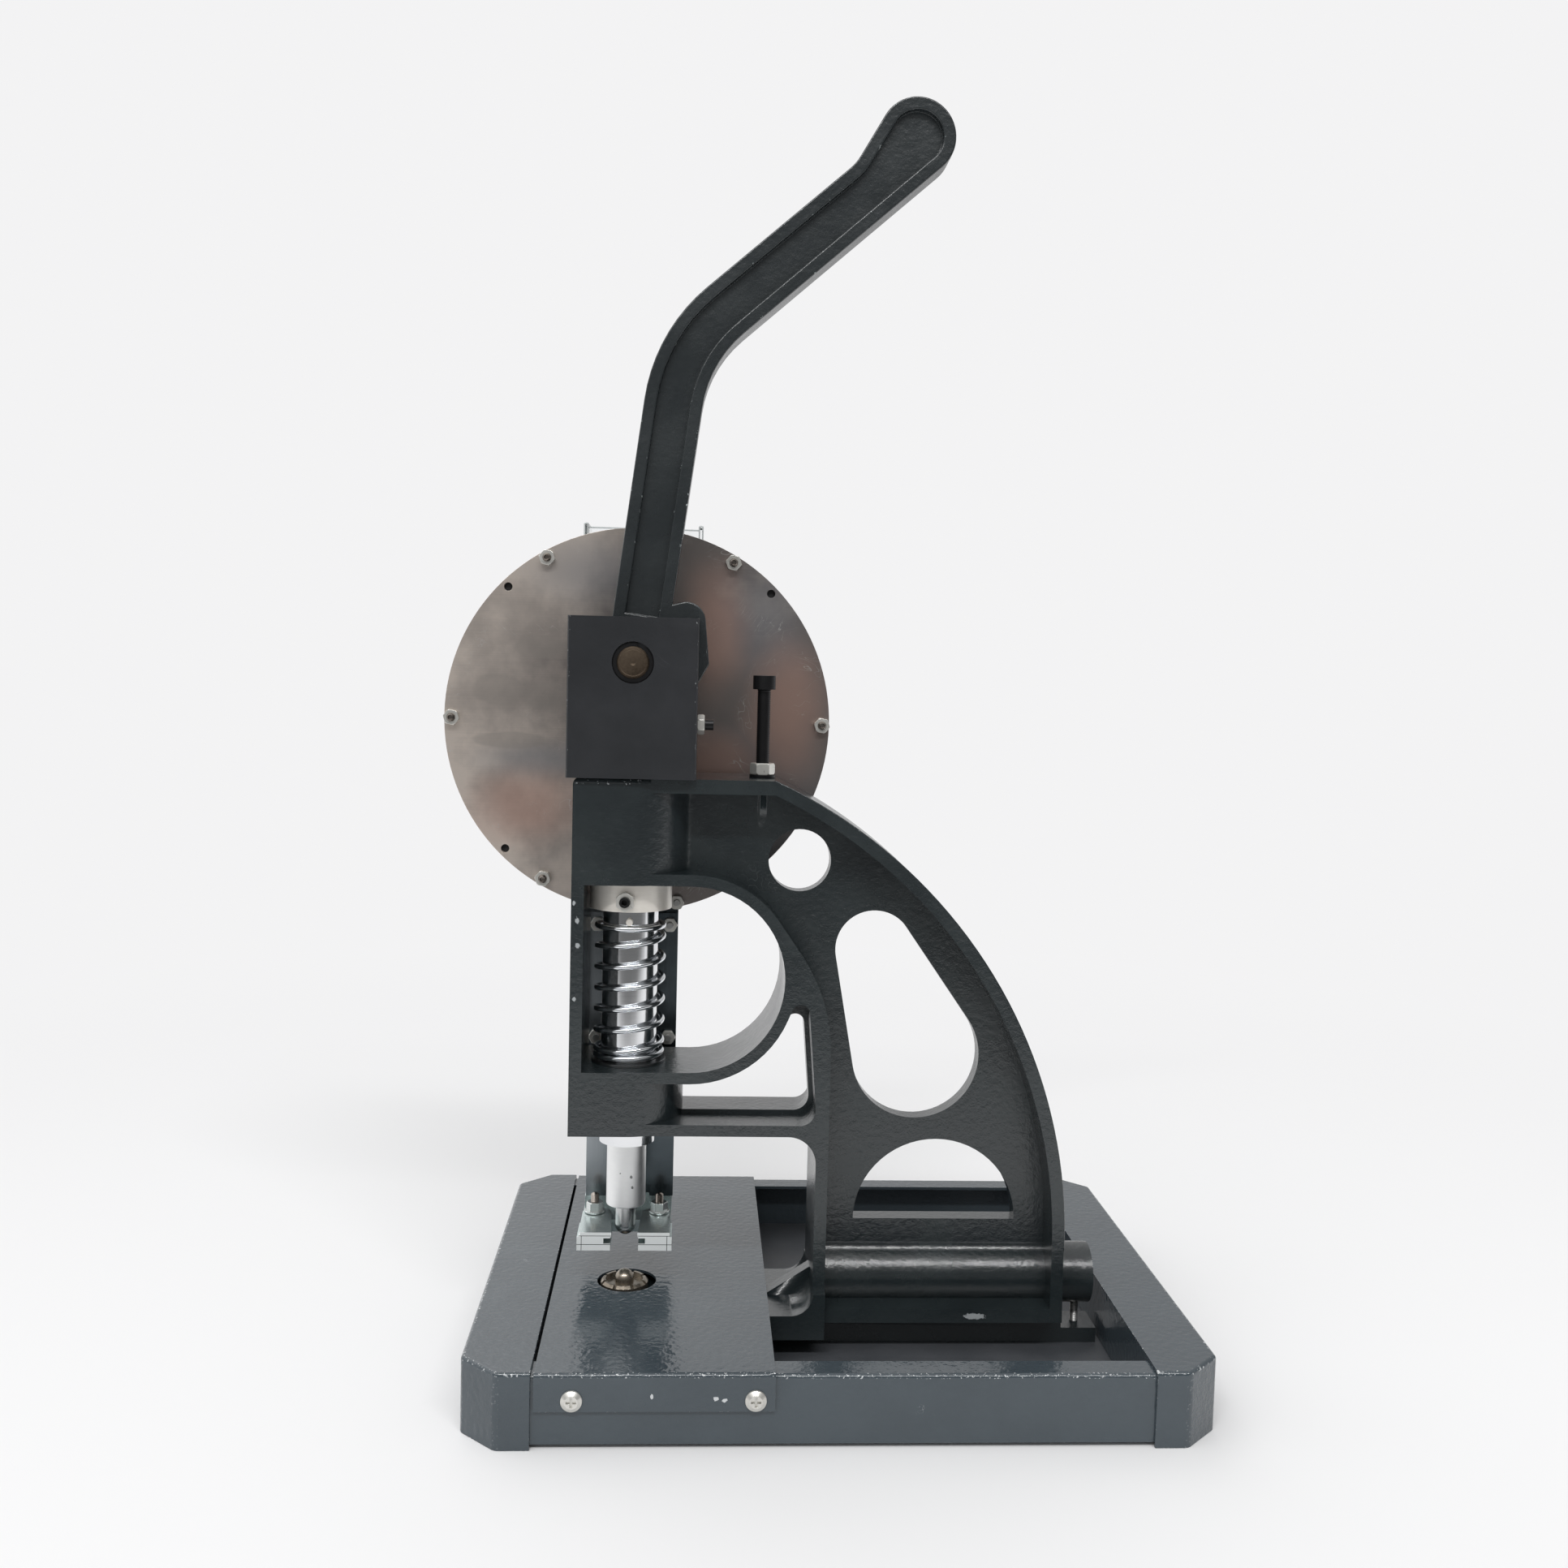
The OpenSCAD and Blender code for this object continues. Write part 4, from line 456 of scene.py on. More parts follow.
def makePaint(name, p, c=paintLook):
    material, tree, shader = newFinish(name)
    skin = useGroup(tree, orangePeel, Scale=p["peel"], Depth=p["depth"], Grit=p["grit"])
    colour = mixColour(tree, skin.outputs["Mottle"], rgba(p["shade"]), rgba(p["colour"]))
    worn = useGroup(tree, edgeWear, Amount=p["wear"])
    worn.inputs["Chip Scale"].default_value = p["chips"]
    scuffed = useGroup(tree, scratches, Scale=c["scratchScale"], Amount=c["scratched"], Turn=c["scratchTurn"])
    faint = calc(tree, "MULTIPLY", scuffed.outputs["Mask"], c["scratchShows"])
    marks = calc(tree, "MAXIMUM", worn.outputs["Mask"], faint)
    if "spots" in p:
        marks = calc(tree, "MAXIMUM", marks, bareSpots(tree, p["spots"]))
    if "parting" in p:
        darker = rgba([partingLook["shade"] * v for v in p["colour"]])
        colour = mixColour(tree, partingLine(tree, p["parting"]), colour, darker)
    colour = mixColour(tree, marks, colour, rgba(p["bare"]))
    rough = calc(tree, "MULTIPLY", skin.outputs["Mottle"], c["rougher"])
    tree.links.new(colour, shader.inputs["Base Color"])
    tree.links.new(calc(tree, "ADD", p["roughness"] - c["smoother"], rough), shader.inputs["Roughness"])
    tree.links.new(skin.outputs["Normal"], shader.inputs["Normal"])
    shader.inputs["Specular IOR Level"].default_value = p["gloss"]
    return material


metals = {
    "zincSteel": {"colour": (0.80, 0.79, 0.75), "dark": (0.56, 0.55, 0.51), "roughness": 0.30,
                  "metallic": 0.65, "stretch": (300.0, 300.0, 300.0), "depth": 0.25},
    "blackOxide": {"colour": (0.020, 0.020, 0.021), "dark": (0.012, 0.012, 0.013), "roughness": 0.36,
                   "stretch": (500.0, 500.0, 500.0), "depth": 0.3, "metallic": 0.6},
    "nutSteel": {"colour": (0.74, 0.77, 0.76), "dark": (0.58, 0.61, 0.60), "roughness": 0.20, "metallic": 0.9,
                 "stretch": (150.0, 150.0, 150.0), "depth": 0.15},
    "studSteel": {"colour": (0.44, 0.40, 0.36), "dark": (0.24, 0.21, 0.19), "roughness": 0.24,
                  "stretch": (150.0, 150.0, 150.0), "depth": 0.15},
    "seatSteel": {"colour": (0.34, 0.35, 0.36), "dark": (0.16, 0.165, 0.17), "roughness": 0.30,
                  "stretch": (300.0, 300.0, 300.0), "depth": 0.3},
    "pivotSteel": {"colour": (0.155, 0.120, 0.088), "dark": (0.040, 0.028, 0.020), "roughness": 0.50,
                   "stretch": (900.0, 900.0, 900.0), "depth": 0.7},
    "plainSteel": {"colour": (0.62, 0.62, 0.61), "dark": (0.38, 0.38, 0.37), "roughness": 0.30,
                   "metallic": 0.75, "stretch": (400.0, 400.0, 60.0), "depth": 0.3},
    "ramChrome": {"colour": (0.86, 0.87, 0.88), "dark": (0.74, 0.75, 0.77), "roughness": 0.12,
                  "stretch": (60.0, 60.0, 900.0), "depth": 0.08},
    "springChrome": {"colour": (0.84, 0.86, 0.88), "dark": (0.70, 0.73, 0.76), "roughness": 0.14,
                     "stretch": (120.0, 120.0, 120.0), "depth": 0.1},
    "collarSteel": {"colour": (0.92, 0.89, 0.83), "dark": (0.70, 0.65, 0.58), "roughness": 0.33,
                    "metallic": 0.34, "stretch": (60.0, 60.0, 1200.0), "depth": 0.15},
    "sleeveSteel": {"colour": (0.95, 0.955, 0.95), "dark": (0.80, 0.81, 0.81), "roughness": 0.38,
                    "stretch": (160.0, 160.0, 420.0), "depth": 0.3,
                    "dents": {"deep": 6, "shade": 0.3, "marks": (
                        ((3.3, 18.9), (0.9, 1.5)), ((4.0, 12.6), (0.9, 1.2)), ((-3.0, 21.0), (0.5, 0.6)))}},
    "dieSteel": {"colour": (0.40, 0.36, 0.30), "dark": (0.17, 0.14, 0.11), "roughness": 0.28,
                 "metallic": 0.85, "stretch": (500.0, 500.0, 500.0), "depth": 0.25},
    "pilotSteel": {"colour": (0.62, 0.63, 0.63), "dark": (0.44, 0.45, 0.45), "roughness": 0.20,
                   "stretch": (300.0, 300.0, 300.0), "depth": 0.2},
    # The chute's colour carries painted light: lighter towards its left as a painted reflection, darker
    # towards its right as painted shade
    "chuteSteel": {"colour": (0.105, 0.125, 0.137), "dark": (0.060, 0.072, 0.080), "roughness": 0.25,
                   "stretch": (700.0, 700.0, 14.0), "depth": 0.2,
                   "leftTone": {"colour": (0.40, 0.43, 0.45), "between": (4, -30), "shows": 0.8}},
    "jawSteel": {"colour": (0.63, 0.71, 0.70), "dark": (0.50, 0.57, 0.57), "roughness": 0.22,
                 "metallic": 0.85, "stretch": (70.0, 70.0, 70.0), "depth": 0.1,
                 "seams": {"under": (1.9, 7.0), "end": 2.7, "wide": 0.22, "core": 0.6, "face": (0.5, 0.3),
                           "belowPlate": (1.7, 2.1), "cut": (0.93, 0.95, 0.95), "shows": 0.8,
                           "dark": (0.03, 0.035, 0.036), "dull": 0.55}},
}


def sleeveDents(tree, colour, m):
    c = m["dents"]
    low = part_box("punch_sleeve")[0]
    places = [((ramAxis.x / mm + x, low[1] / mm, low[2] / mm + z), (wide, c["deep"], tall))
              for (x, z), (wide, tall) in c["marks"]]
    return mixColour(tree, bareSpots(tree, places), colour, rgba([c["shade"] * v for v in m["dark"]]))


# Painted light on the chute: its colour lightens towards the left of the ram's axis
def chutePaintedLeftLight(tree, colour, c):
    left = spread(tree, axesOf(tree, objectPlace(tree))["X"], *[ramAxis.x + x * mm for x in c["between"]])
    return mixColour(tree, calc(tree, "MULTIPLY", left, c["shows"]), colour, rgba(c["colour"]))


# The jaws' front faces: a plate over two strips, with an end piece
def jawSeams(tree, colour, c):
    def lineMask(value, middle):
        away = calc(tree, "ABSOLUTE", calc(tree, "SUBTRACT", value, middle * mm))
        return spread(tree, away, c["wide"] * mm, c["core"] * c["wide"] * mm)

    low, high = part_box("jaw_right")
    parts = axesOf(tree, objectPlace(tree))
    across = calc(tree, "ABSOLUTE", calc(tree, "SUBTRACT", parts["X"], ramAxis.x))
    front = spread(tree, parts["Y"], *[low[1] + y * mm for y in c["face"]])
    level = calc(tree, "MAXIMUM", *[lineMask(parts["Z"], high[2] / mm - z) for z in c["under"]])
    end = lineMask(across, (high[0] - ramAxis.x) / mm - c["end"])
    below = spread(tree, parts["Z"], *[high[2] - z * mm for z in c["belowPlate"]])
    lines = calc(tree, "MAXIMUM", level, calc(tree, "MULTIPLY", end, below))
    colour = mixColour(tree, calc(tree, "MULTIPLY", front, c["shows"]), colour, rgba(c["cut"]))
    return mixColour(tree, calc(tree, "MULTIPLY", front, lines), colour, rgba(c["dark"])), front


metalLook = {"blotches": 0.6, "streaks": 0.5, "smooth": 0.8, "rougher": 0.4}


def makeMetal(name, m, c=metalLook):
    material, tree, shader = newFinish(name)
    grain = useGroup(tree, brushGrain, Stretch=m["stretch"], Depth=m["depth"])
    streaks = grain.outputs["Streaks"]
    fade = calc(tree, "MULTIPLY", grain.outputs["Blotches"], c["blotches"])
    fade = calc(tree, "ADD", fade, calc(tree, "MULTIPLY", streaks, c["streaks"]), clamp=True)
    colour = mixColour(tree, fade, rgba(m["dark"]), rgba(m["colour"]))
    shader.inputs["Metallic"].default_value = m.get("metallic", 1.0)
    if "dents" in m:
        colour = sleeveDents(tree, colour, m)
    if "leftTone" in m:
        colour = chutePaintedLeftLight(tree, colour, m["leftTone"])
    if "seams" in m:
        colour, front = jawSeams(tree, colour, m["seams"])
        dull = calc(tree, "SUBTRACT", m["metallic"], calc(tree, "MULTIPLY", front, m["seams"]["dull"]))
        tree.links.new(dull, shader.inputs["Metallic"])
    rough = calc(tree, "MULTIPLY", streaks, m["roughness"] * c["rougher"])
    tree.links.new(colour, shader.inputs["Base Color"])
    tree.links.new(calc(tree, "ADD", m["roughness"] * c["smooth"], rough), shader.inputs["Roughness"])
    tree.links.new(grain.outputs["Normal"], shader.inputs["Normal"])
    return material


# The painted light fades (lighter on the disc's left and top, darker on its right) start and end in metres
# from the disc's middle, and its patches lie in millimetres
discLook = {
    "colour": (0.87, 0.775, 0.695), "dark": (0.28, 0.252, 0.240), "metallic": 0.85, "anisotropy": 0.5,
    "roughness": 0.44, "smoother": 0.06, "rougher": 0.16,
    "grain": {"Stretch": (6.0, 300.0, 1500.0), "Depth": 0.16}, "streaks": 0.25,
    "cloud": (13.0, 6.0, 0.55), "cloudFrom": (0.32, 0.68),
    "acrossFade": (-0.13, 0.07, 0.38, -1.05), "upFade": (0.0, 0.10, 0.0, 0.35),
    "ragged": (30.0, 3.0), "raggedBy": 0.9,
    "patches": (
        {"colour": (0.36, 0.37, 0.40), "soft": 0.8, "shows": 0.55, "places": (
            ((-26, 88), (30, 17)), ((72, 62), (22, 26)), ((-55, -24), (34, 9)), ((66, -52), (34, 34)))},
        {"colour": (0.80, 0.49, 0.39), "soft": 0.75, "shows": 0.5, "places": (
            ((-67, -53), (27, 18)), ((45, 55), (17, 30)), ((46, -25), (24, 16)), ((88, 6), (20, 34)))},
        {"colour": (0.46, 0.42, 0.385), "soft": 0.14, "shows": 0.42, "places": (
            ((-84, 17), (15, 9.5)), ((-52, 13), (15, 10)), ((-59, 43), (15, 8)), ((-75, -13), (22, 5)))},
    ),
    "scratches": {"Scale": 42.0, "Amount": 0.24, "Turn": 0.1}, "scratchShows": 0.5,
    "scratchColour": (0.85, 0.84, 0.82),
}


def patchMask(tree, offset, patch, shift):
    found = None
    for (x, z), (reachX, reachZ) in patch["places"]:
        away = vectorCalc(tree, "SUBTRACT", offset, (x * mm, 0, z * mm))
        scaled = vectorCalc(tree, "DIVIDE", away, (reachX * mm, 1.0, reachZ * mm))
        reach = vectorCalc(tree, "LENGTH", scaled, output="Value")
        mask = spread(tree, calc(tree, "ADD", reach, shift), 1.0 + patch["soft"], 1.0 - patch["soft"])
        found = mask if found is None else calc(tree, "MAXIMUM", found, mask)
    return found


def makeDiscSteel(name, d):
    material, tree, shader = newFinish(name)
    grain = useGroup(tree, brushGrain, **d["grain"])
    streaks = grain.outputs["Streaks"]
    place = objectPlace(tree)
    offset = vectorCalc(tree, "SUBTRACT", place, middleOf("hopper_disc"))
    parts = axesOf(tree, offset)
    # Painted reflection and shade: the disc's colour lightens towards its left and top and darkens towards
    # its right
    across, up = spread(tree, parts["X"], *d["acrossFade"]), spread(tree, parts["Z"], *d["upFade"])
    side = calc(tree, "ADD", across, up)
    fade = calc(tree, "ADD", spread(tree, noise(tree, place, *d["cloud"]), *d["cloudFrom"]), side)
    fade = calc(tree, "ADD", fade, calc(tree, "MULTIPLY", streaks, d["streaks"]), clamp=True)
    colour = mixColour(tree, fade, rgba(d["dark"]), rgba(d["colour"]))
    ragged = calc(tree, "SUBTRACT", noise(tree, place, *d["ragged"]), noiseMiddle)
    shift = calc(tree, "MULTIPLY", ragged, d["raggedBy"])
    for patch in d["patches"]:
        shown = calc(tree, "MULTIPLY", patchMask(tree, offset, patch, shift), patch["shows"])
        colour = mixColour(tree, shown, colour, rgba(patch["colour"]))
    scuffed = useGroup(tree, scratches, **d["scratches"])
    shown = calc(tree, "MULTIPLY", scuffed.outputs["Mask"], d["scratchShows"])
    colour = mixColour(tree, shown, colour, rgba(d["scratchColour"]))
    rough = calc(tree, "MULTIPLY", streaks, d["rougher"])
    tree.links.new(colour, shader.inputs["Base Color"])
    tree.links.new(calc(tree, "ADD", d["roughness"] - d["smoother"], rough), shader.inputs["Roughness"])
    tree.links.new(grain.outputs["Normal"], shader.inputs["Normal"])
    shader.inputs["Metallic"].default_value = d["metallic"]
    shader.inputs["Anisotropic"].default_value = d["anisotropy"]
    return material


plastics = {
    "rotorPlastic": {"colour": (0.56, 0.53, 0.46), "roughness": 0.45, "depth": 0.1},
    "knobPlastic": {"colour": (0.016, 0.016, 0.017), "roughness": 0.30, "depth": 0.15},
    # Near-black painted shade for the drum flange's face behind the disc's holes
    "gasketRubber": {"colour": (0.008, 0.008, 0.009), "roughness": 0.75, "depth": 0.1},
    "sawnPlastic": {"colour": (0.62, 0.66, 0.66), "roughness": 0.5, "depth": 0.2},
}
plasticLook = {"peel": 900.0, "grit": 0.4, "shade": 0.85, "rougher": 0.08}


def makePlastic(name, p, c=plasticLook):
    material, tree, shader = newFinish(name)
    skin = useGroup(tree, orangePeel, Scale=c["peel"], Depth=p["depth"], Grit=c["grit"])
    darker = rgba([c["shade"] * v for v in p["colour"]])
    colour = mixColour(tree, skin.outputs["Mottle"], darker, rgba(p["colour"]))
    rough = calc(tree, "MULTIPLY", skin.outputs["Mottle"], c["rougher"])
    tree.links.new(colour, shader.inputs["Base Color"])
    tree.links.new(calc(tree, "ADD", p["roughness"], rough), shader.inputs["Roughness"])
    tree.links.new(skin.outputs["Normal"], shader.inputs["Normal"])
    return material


clearSheet = {"colour": (0.97, 0.985, 0.99), "haze": (40.0, 4.0), "hazeFrom": (0.3, 0.7),
              "roughness": (0.03, 0.07), "bending": 1.49}


def makeClearSheet(name, c):
    material, tree, shader = newFinish(name)
    haze = noise(tree, objectPlace(tree), *c["haze"])
    tree.links.new(spread(tree, haze, *c["hazeFrom"], *c["roughness"]), shader.inputs["Roughness"])
    shader.inputs["Base Color"].default_value = rgba(c["colour"])
    shader.inputs["Transmission Weight"].default_value = 1.0
    shader.inputs["IOR"].default_value = c["bending"]
    return material


finish = {name: makePaint(name, p) for name, p in paints.items()}
finish.update({name: makeMetal(name, m) for name, m in metals.items()})
finish.update({name: makePlastic(name, p) for name, p in plastics.items()})
finish["discSteel"] = makeDiscSteel("discSteel", discLook)
finish["clearPlastic"] = makeClearSheet("clearPlastic", clearSheet)
finishOfSlot = {
    "base_paint": "basePaint", "floor_paint": "floorPaint", "casting_paint": "castingPaint",
    "head_paint": "headPaint", "lever_paint": "leverPaint", "bracket_paint": "bracketPaint",
    "zinc_steel": "zincSteel", "black_oxide": "blackOxide", "pivot_steel": "pivotSteel",
    "plain_steel": "plainSteel", "ram_chrome": "ramChrome", "spring_chrome": "springChrome",
    "collar_steel": "collarSteel", "sleeve_steel": "sleeveSteel", "die_steel": "dieSteel",
    "chute_steel": "chuteSteel", "jaw_steel": "jawSteel", "disc_steel": "discSteel",
    "clear_plastic": "clearPlastic", "rotor_plastic": "rotorPlastic", "knob_plastic": "knobPlastic",
}
print("finishes made,", len(finish))


# Tools for the pieces

# Angles in degrees and distances in millimetres, and level is the upward share of a face's normal
meshRules = {"smooth": 32, "sharp": 28, "merge": 0.004, "tiny": 0.002, "flat": 0.4, "level": 0.15}


def settle(bm, name, node, smooth=meshRules["smooth"]):
    bmesh.ops.recalc_face_normals(bm, faces=bm.faces)
    mesh = bpy.data.meshes.new(name)
    bm.to_mesh(mesh)
    bm.free()
    mesh.shade_smooth()
    mesh.set_sharp_from_angle(angle=math.radians(smooth))
    piece = bpy.data.objects.new(name, mesh)
    bpy.context.scene.collection.objects.link(piece)
    even = piece.modifiers.new("evenNormals", "WEIGHTED_NORMAL")
    even.keep_sharp = True
    mesh.materials.append(finish[finishOfSlot[slotOfNode[node]]])
    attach(piece, bodyOfNode[node])
    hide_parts(node)
    return piece


def mergedCopy(node):
    bm = bmesh.new()
    bm.from_mesh(nodes[node].data)
    bmesh.ops.remove_doubles(bm, verts=bm.verts, dist=meshRules["merge"] * mm)
    bmesh.ops.dissolve_degenerate(bm, edges=bm.edges, dist=meshRules["tiny"] * mm)
    bmesh.ops.dissolve_limit(bm, angle_limit=math.radians(meshRules["flat"]), verts=bm.verts, edges=bm.edges)
    return bm


def sharpEdges(bm, angle, convex, where=None):
    limit = math.radians(angle)
    found = []
    for edge in bm.edges:
        if len(edge.link_faces) != 2 or edge.calc_face_angle(0) < limit or edge.is_convex != convex:
            continue
        if where is None or where(edge):
            found.append(edge)
    return found


def bevel(bm, geometry, width, segments, affect):
    made = bmesh.ops.bevel(
        bm, geom=geometry, offset=width * mm, offset_type="OFFSET", segments=segments, profile=0.5,
        affect=affect, clamp_overlap=True, material=-1)
    return made["faces"]


def cutCorners(bm, width):
    sharp = set(sharpEdges(bm, meshRules["sharp"], True))
    corners = [vert for vert in bm.verts if sum(edge in sharp for edge in vert.link_edges) >= 3]
    bevel(bm, corners, width, 1, "VERTICES")


# The new faces of a convex edge carry the paint's wear
def softenMesh(bm, passes):
    rim = bm.faces.layers.float.new("rim")
    for step in passes:
        convex = step.get("convex", True)
        edges = sharpEdges(bm, step.get("angle", meshRules["sharp"]), convex, step.get("where"))
        if not edges:
            continue
        faces = bevel(bm, edges, step["width"], step.get("segments", 2), "EDGES")
        if convex:
            for face in faces:
                face.normal_update()
                standing = abs(face.normal.z) <= meshRules["level"]
                face[rim] = step.get("uprightWear", 1.0) if standing else 1.0


def soften(node, name, passes):
    bm = mergedCopy(node)
    softenMesh(bm, passes)
    return settle(bm, name, node)


def lathe(bm, outline, place, axis, steps):
    turn = Vector((0, 0, 1)).rotation_difference(Vector(axis))
    corners = [bm.verts.new(Vector(place) + turn @ Vector((radius * mm, 0, along * mm)))
               for radius, along in outline]
    links = [bm.edges.new(pair) for pair in zip(corners, corners[1:])]
    bmesh.ops.spin(bm, geom=corners + links, cent=place, axis=axis, angle=2 * math.pi, steps=steps,
                   use_merge=True)
    bmesh.ops.remove_doubles(bm, verts=bm.verts, dist=meshRules["tiny"] * mm)


def threadOutline(low, high, radius, pitch, depth):
    count = max(1, round((high - low) / pitch))
    pitch = (high - low) / count
    ridges = [[(radius - depth, low + i * pitch), (radius, low + (i + 0.5) * pitch)] for i in range(count)]
    return [point for ridge in ridges for point in ridge] + [(radius - depth, high)]


def camel(node):
    first, *rest = node.split("_")
    return first + "".join(word.capitalize() for word in rest)


# Small hardware

# Width of each softened edge in millimetres
smallEdges = {
    "base_floor": 0.5, "bed_bolts": 0.4, "head_lock_screw": 0.3, "stop_washer": 0.25, "pivot_rings": 0.15,
    "crank_pin": 0.4, "link": 0.6, "link_pin": 0.4, "ram": 1.2, "shaft_collar": 0.6, "collar_screw": 0.3,
    "spring_stop_pin": 0.5, "spring_seat": 0.3, "punch_sleeve": 0.9, "lower_die": 0.25, "chute_back": 0.3,
    "chute_rails": 0.4, "chute_lips": 0.9, "chute_screws": 0.3, "chute_spacer": 0.5, "jaw_base": 0.3,
    "jaw_left": 0.35, "jaw_right": 0.35, "hopper_disc": 0.3, "hopper_drum": 0.4, "rotor": 0.6,
    "rotor_shaft": 0.4, "rotor_knob": 0.9, "hopper_bracket": 0.6, "bracket_screws": 0.4, "table_screws": 0.35,
    "pilot_pin": 0.3,
}
for node, width in smallEdges.items():
    soften(node, camel(node), [{"width": width}])

# The drum flange's front face behind the disc is painted near-black: painted shade seen through the disc's
# holes
paintedShadeDepth = 0.3
drum = bpy.data.objects["hopperDrum"]
drum.data.materials.append(finish["gasketRubber"])
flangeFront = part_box("hopper_drum")[0][1]
for face in drum.data.polygons:
    if face.center.y < flangeFront + paintedShadeDepth * mm:
        face.material_index = 1

nutEdge = 0.25
nutCorners = {"head_lock_nut": 1.0, "stop_nut": 1.2, "collar_nut": 1.0, "chute_nuts": 0.8, "jaw_nuts": 0.8,
              "rim_nuts": 0.8}
for node, width in nutCorners.items():
    bm = mergedCopy(node)
    cutCorners(bm, width)
    softenMesh(bm, [{"width": nutEdge}])
    settle(bm, camel(node), node)
print("hardware softened,", len(smallEdges) + len(nutCorners))

clearEdges = {"hopper_cover": 0.8, "filler_box": 0.9}
for node, width in clearEdges.items():
    sheet = soften(node, camel(node), [{"width": width}])
    sheet.data.materials.append(finish["sawnPlastic"])
    edgeMark = sheet.data.attributes["rim"].data
    for face in sheet.data.polygons:
        face.material_index = round(edgeMark[face.index].value)
print("clear sheets cut")


# Springs

# The low turns lie shut, the open turns take up the rest of the length, and the top turn is flat
springs = {
    "return_spring": {"wire": 3.2, "sides": 16, "stepsPerTurn": 40, "lowTurns": 1.2, "openTurns": 5.8,
                      "topTurns": 0.6, "shutPitch": 3.9, "smooth": 60, "joint": "ram_slide", "fixedEnd": 0},
    "pilot_spring": {"wire": 1.4, "sides": 10, "stepsPerTurn": 28, "lowTurns": 1.0, "openTurns": 9.0,
                     "topTurns": 0.6, "shutPitch": 1.9, "smooth": 60, "joint": "pilot_retract",
                     "fixedEnd": 1},
}


def makeSpring(node, c):
    low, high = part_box(node)
    wire = c["wire"] * mm
    radius = (high[0] - low[0] - wire) / 2
    middle = Vector((ramAxis.x, ramAxis.y, low[2] + wire / 2))
    openPitch = (high[2] - low[2] - wire - c["lowTurns"] * c["shutPitch"] * mm) / c["openTurns"]
    bm = bmesh.new()
    ring = bmesh.ops.create_circle(bm, cap_ends=True, segments=c["sides"], radius=wire / 2)["verts"]
    bmesh.ops.rotate(bm, verts=ring, cent=(0, 0, 0), matrix=Matrix.Rotation(math.pi / 2, 3, "X"))
    bmesh.ops.translate(bm, verts=ring, vec=middle + Vector((-radius, 0, 0)))
    end = list(bm.faces)
    stretches = ((c["lowTurns"], c["shutPitch"] * mm), (c["openTurns"], openPitch), (c["topTurns"], 0.0))
    for turns, pitch in stretches:
        steps = round(turns * c["stepsPerTurn"])
        made = bmesh.ops.spin(bm, geom=end, cent=middle, axis=(0, 0, 1), dvec=(0, 0, pitch * turns / steps),
                              angle=2 * math.pi * turns, steps=steps)
        end = [item for item in made["geom_last"] if isinstance(item, bmesh.types.BMFace)]
    spring = settle(bm, camel(node), node, c["smooth"])
    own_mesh(spring)


for node, c in springs.items():
    makeSpring(node, c)
print("springs wound,", len(springs))


# Threaded screws
stopScrew = {"radius": 4.0, "pitch": 1.25, "depth": 0.55, "headHeight": 8.0, "headEdge": 0.5, "above": 0.01,
             "tipRadius": 2.8, "tip": 0.8, "lap": 0.1, "sides": 28}


def makeStopScrew(c):
    bm = mergedCopy("stop_screw")
    low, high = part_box("stop_screw")
    under = high[2] - c["headHeight"] * mm
    cut = bmesh.ops.bisect_plane(
        bm, geom=bm.verts[:] + bm.edges[:] + bm.faces[:], plane_co=(0, 0, under + c["above"] * mm),
        plane_no=(0, 0, 1), clear_inner=True)
    bmesh.ops.holes_fill(bm, edges=[item for item in cut["geom_cut"] if isinstance(item, bmesh.types.BMEdge)])
    softenMesh(bm, [{"width": c["headEdge"]}])
    top = (under - low[2]) / mm + c["lap"]
    thread = threadOutline(c["tip"], top, c["radius"], c["pitch"], c["depth"])
    outline = [(0, 0), (c["tipRadius"], 0), *thread, (0, top)]
    middle = middleOf("stop_screw")
    lathe(bm, outline, (middle.x, middle.y, low[2]), (0, 0, 1), c["sides"])
    settle(bm, "stopScrew", "stop_screw")


jawStud = {"radius": 2.5, "pitch": 0.8, "depth": 0.32, "threadLength": 14.0, "tip": 0.9,
           "tipShape": ((0.9, 0.35), (1.5, 0)), "sides": 24}


def makeJawScrews(c):
    low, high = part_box("jaw_screws")
    length = (high[2] - low[2]) / mm
    start = length - c["threadLength"]
    outline = ([(0, 0), (c["radius"], 0), (c["radius"], start)]
               + threadOutline(start, length - c["tip"], c["radius"], c["pitch"], c["depth"])
               + [(c["radius"] - inward, length - down) for inward, down in c["tipShape"]] + [(0, length)])
    bm = bmesh.new()
    for x in (low[0] + c["radius"] * mm, high[0] - c["radius"] * mm):
        lathe(bm, outline, (x, middleOf("jaw_screws").y, low[2]), (0, 0, 1), c["sides"])
    settle(bm, "jawScrews", "jaw_screws")


rearScrew = {"radius": 2.5, "pitch": 0.9, "depth": 0.4, "sides": 24}


def makeRearScrew(c):
    low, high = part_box("rear_screw")
    length = (high[2] - low[2]) / mm
    outline = [(0, 0)] + threadOutline(0, length, c["radius"], c["pitch"], c["depth"]) + [(0, length)]
    bm = bmesh.new()
    middle = middleOf("rear_screw")
    lathe(bm, outline, (middle.x, middle.y, low[2]), (0, 0, 1), c["sides"])
    settle(bm, "rearScrew", "rear_screw")


rimScrew = {
    "count": 6, "circle": 110.5, "radius": 2.5, "pitch": 0.8, "depth": 0.3, "thread": (1.5, 9.0),
    "shank": 9.2,
    "tip": ((0, 0.7), (1.1, 0.6), (1.4, 0.05), (1.7, 0), (1.95, 0.25), (1.95, 1.5)), "headRadius": 4.4,
    "headHeight": 3.0, "headEdge": (0.9, 1.0), "socket": ((1.6, 0), (1.5, 1.6), (0, 1.6)), "sides": 24,
}


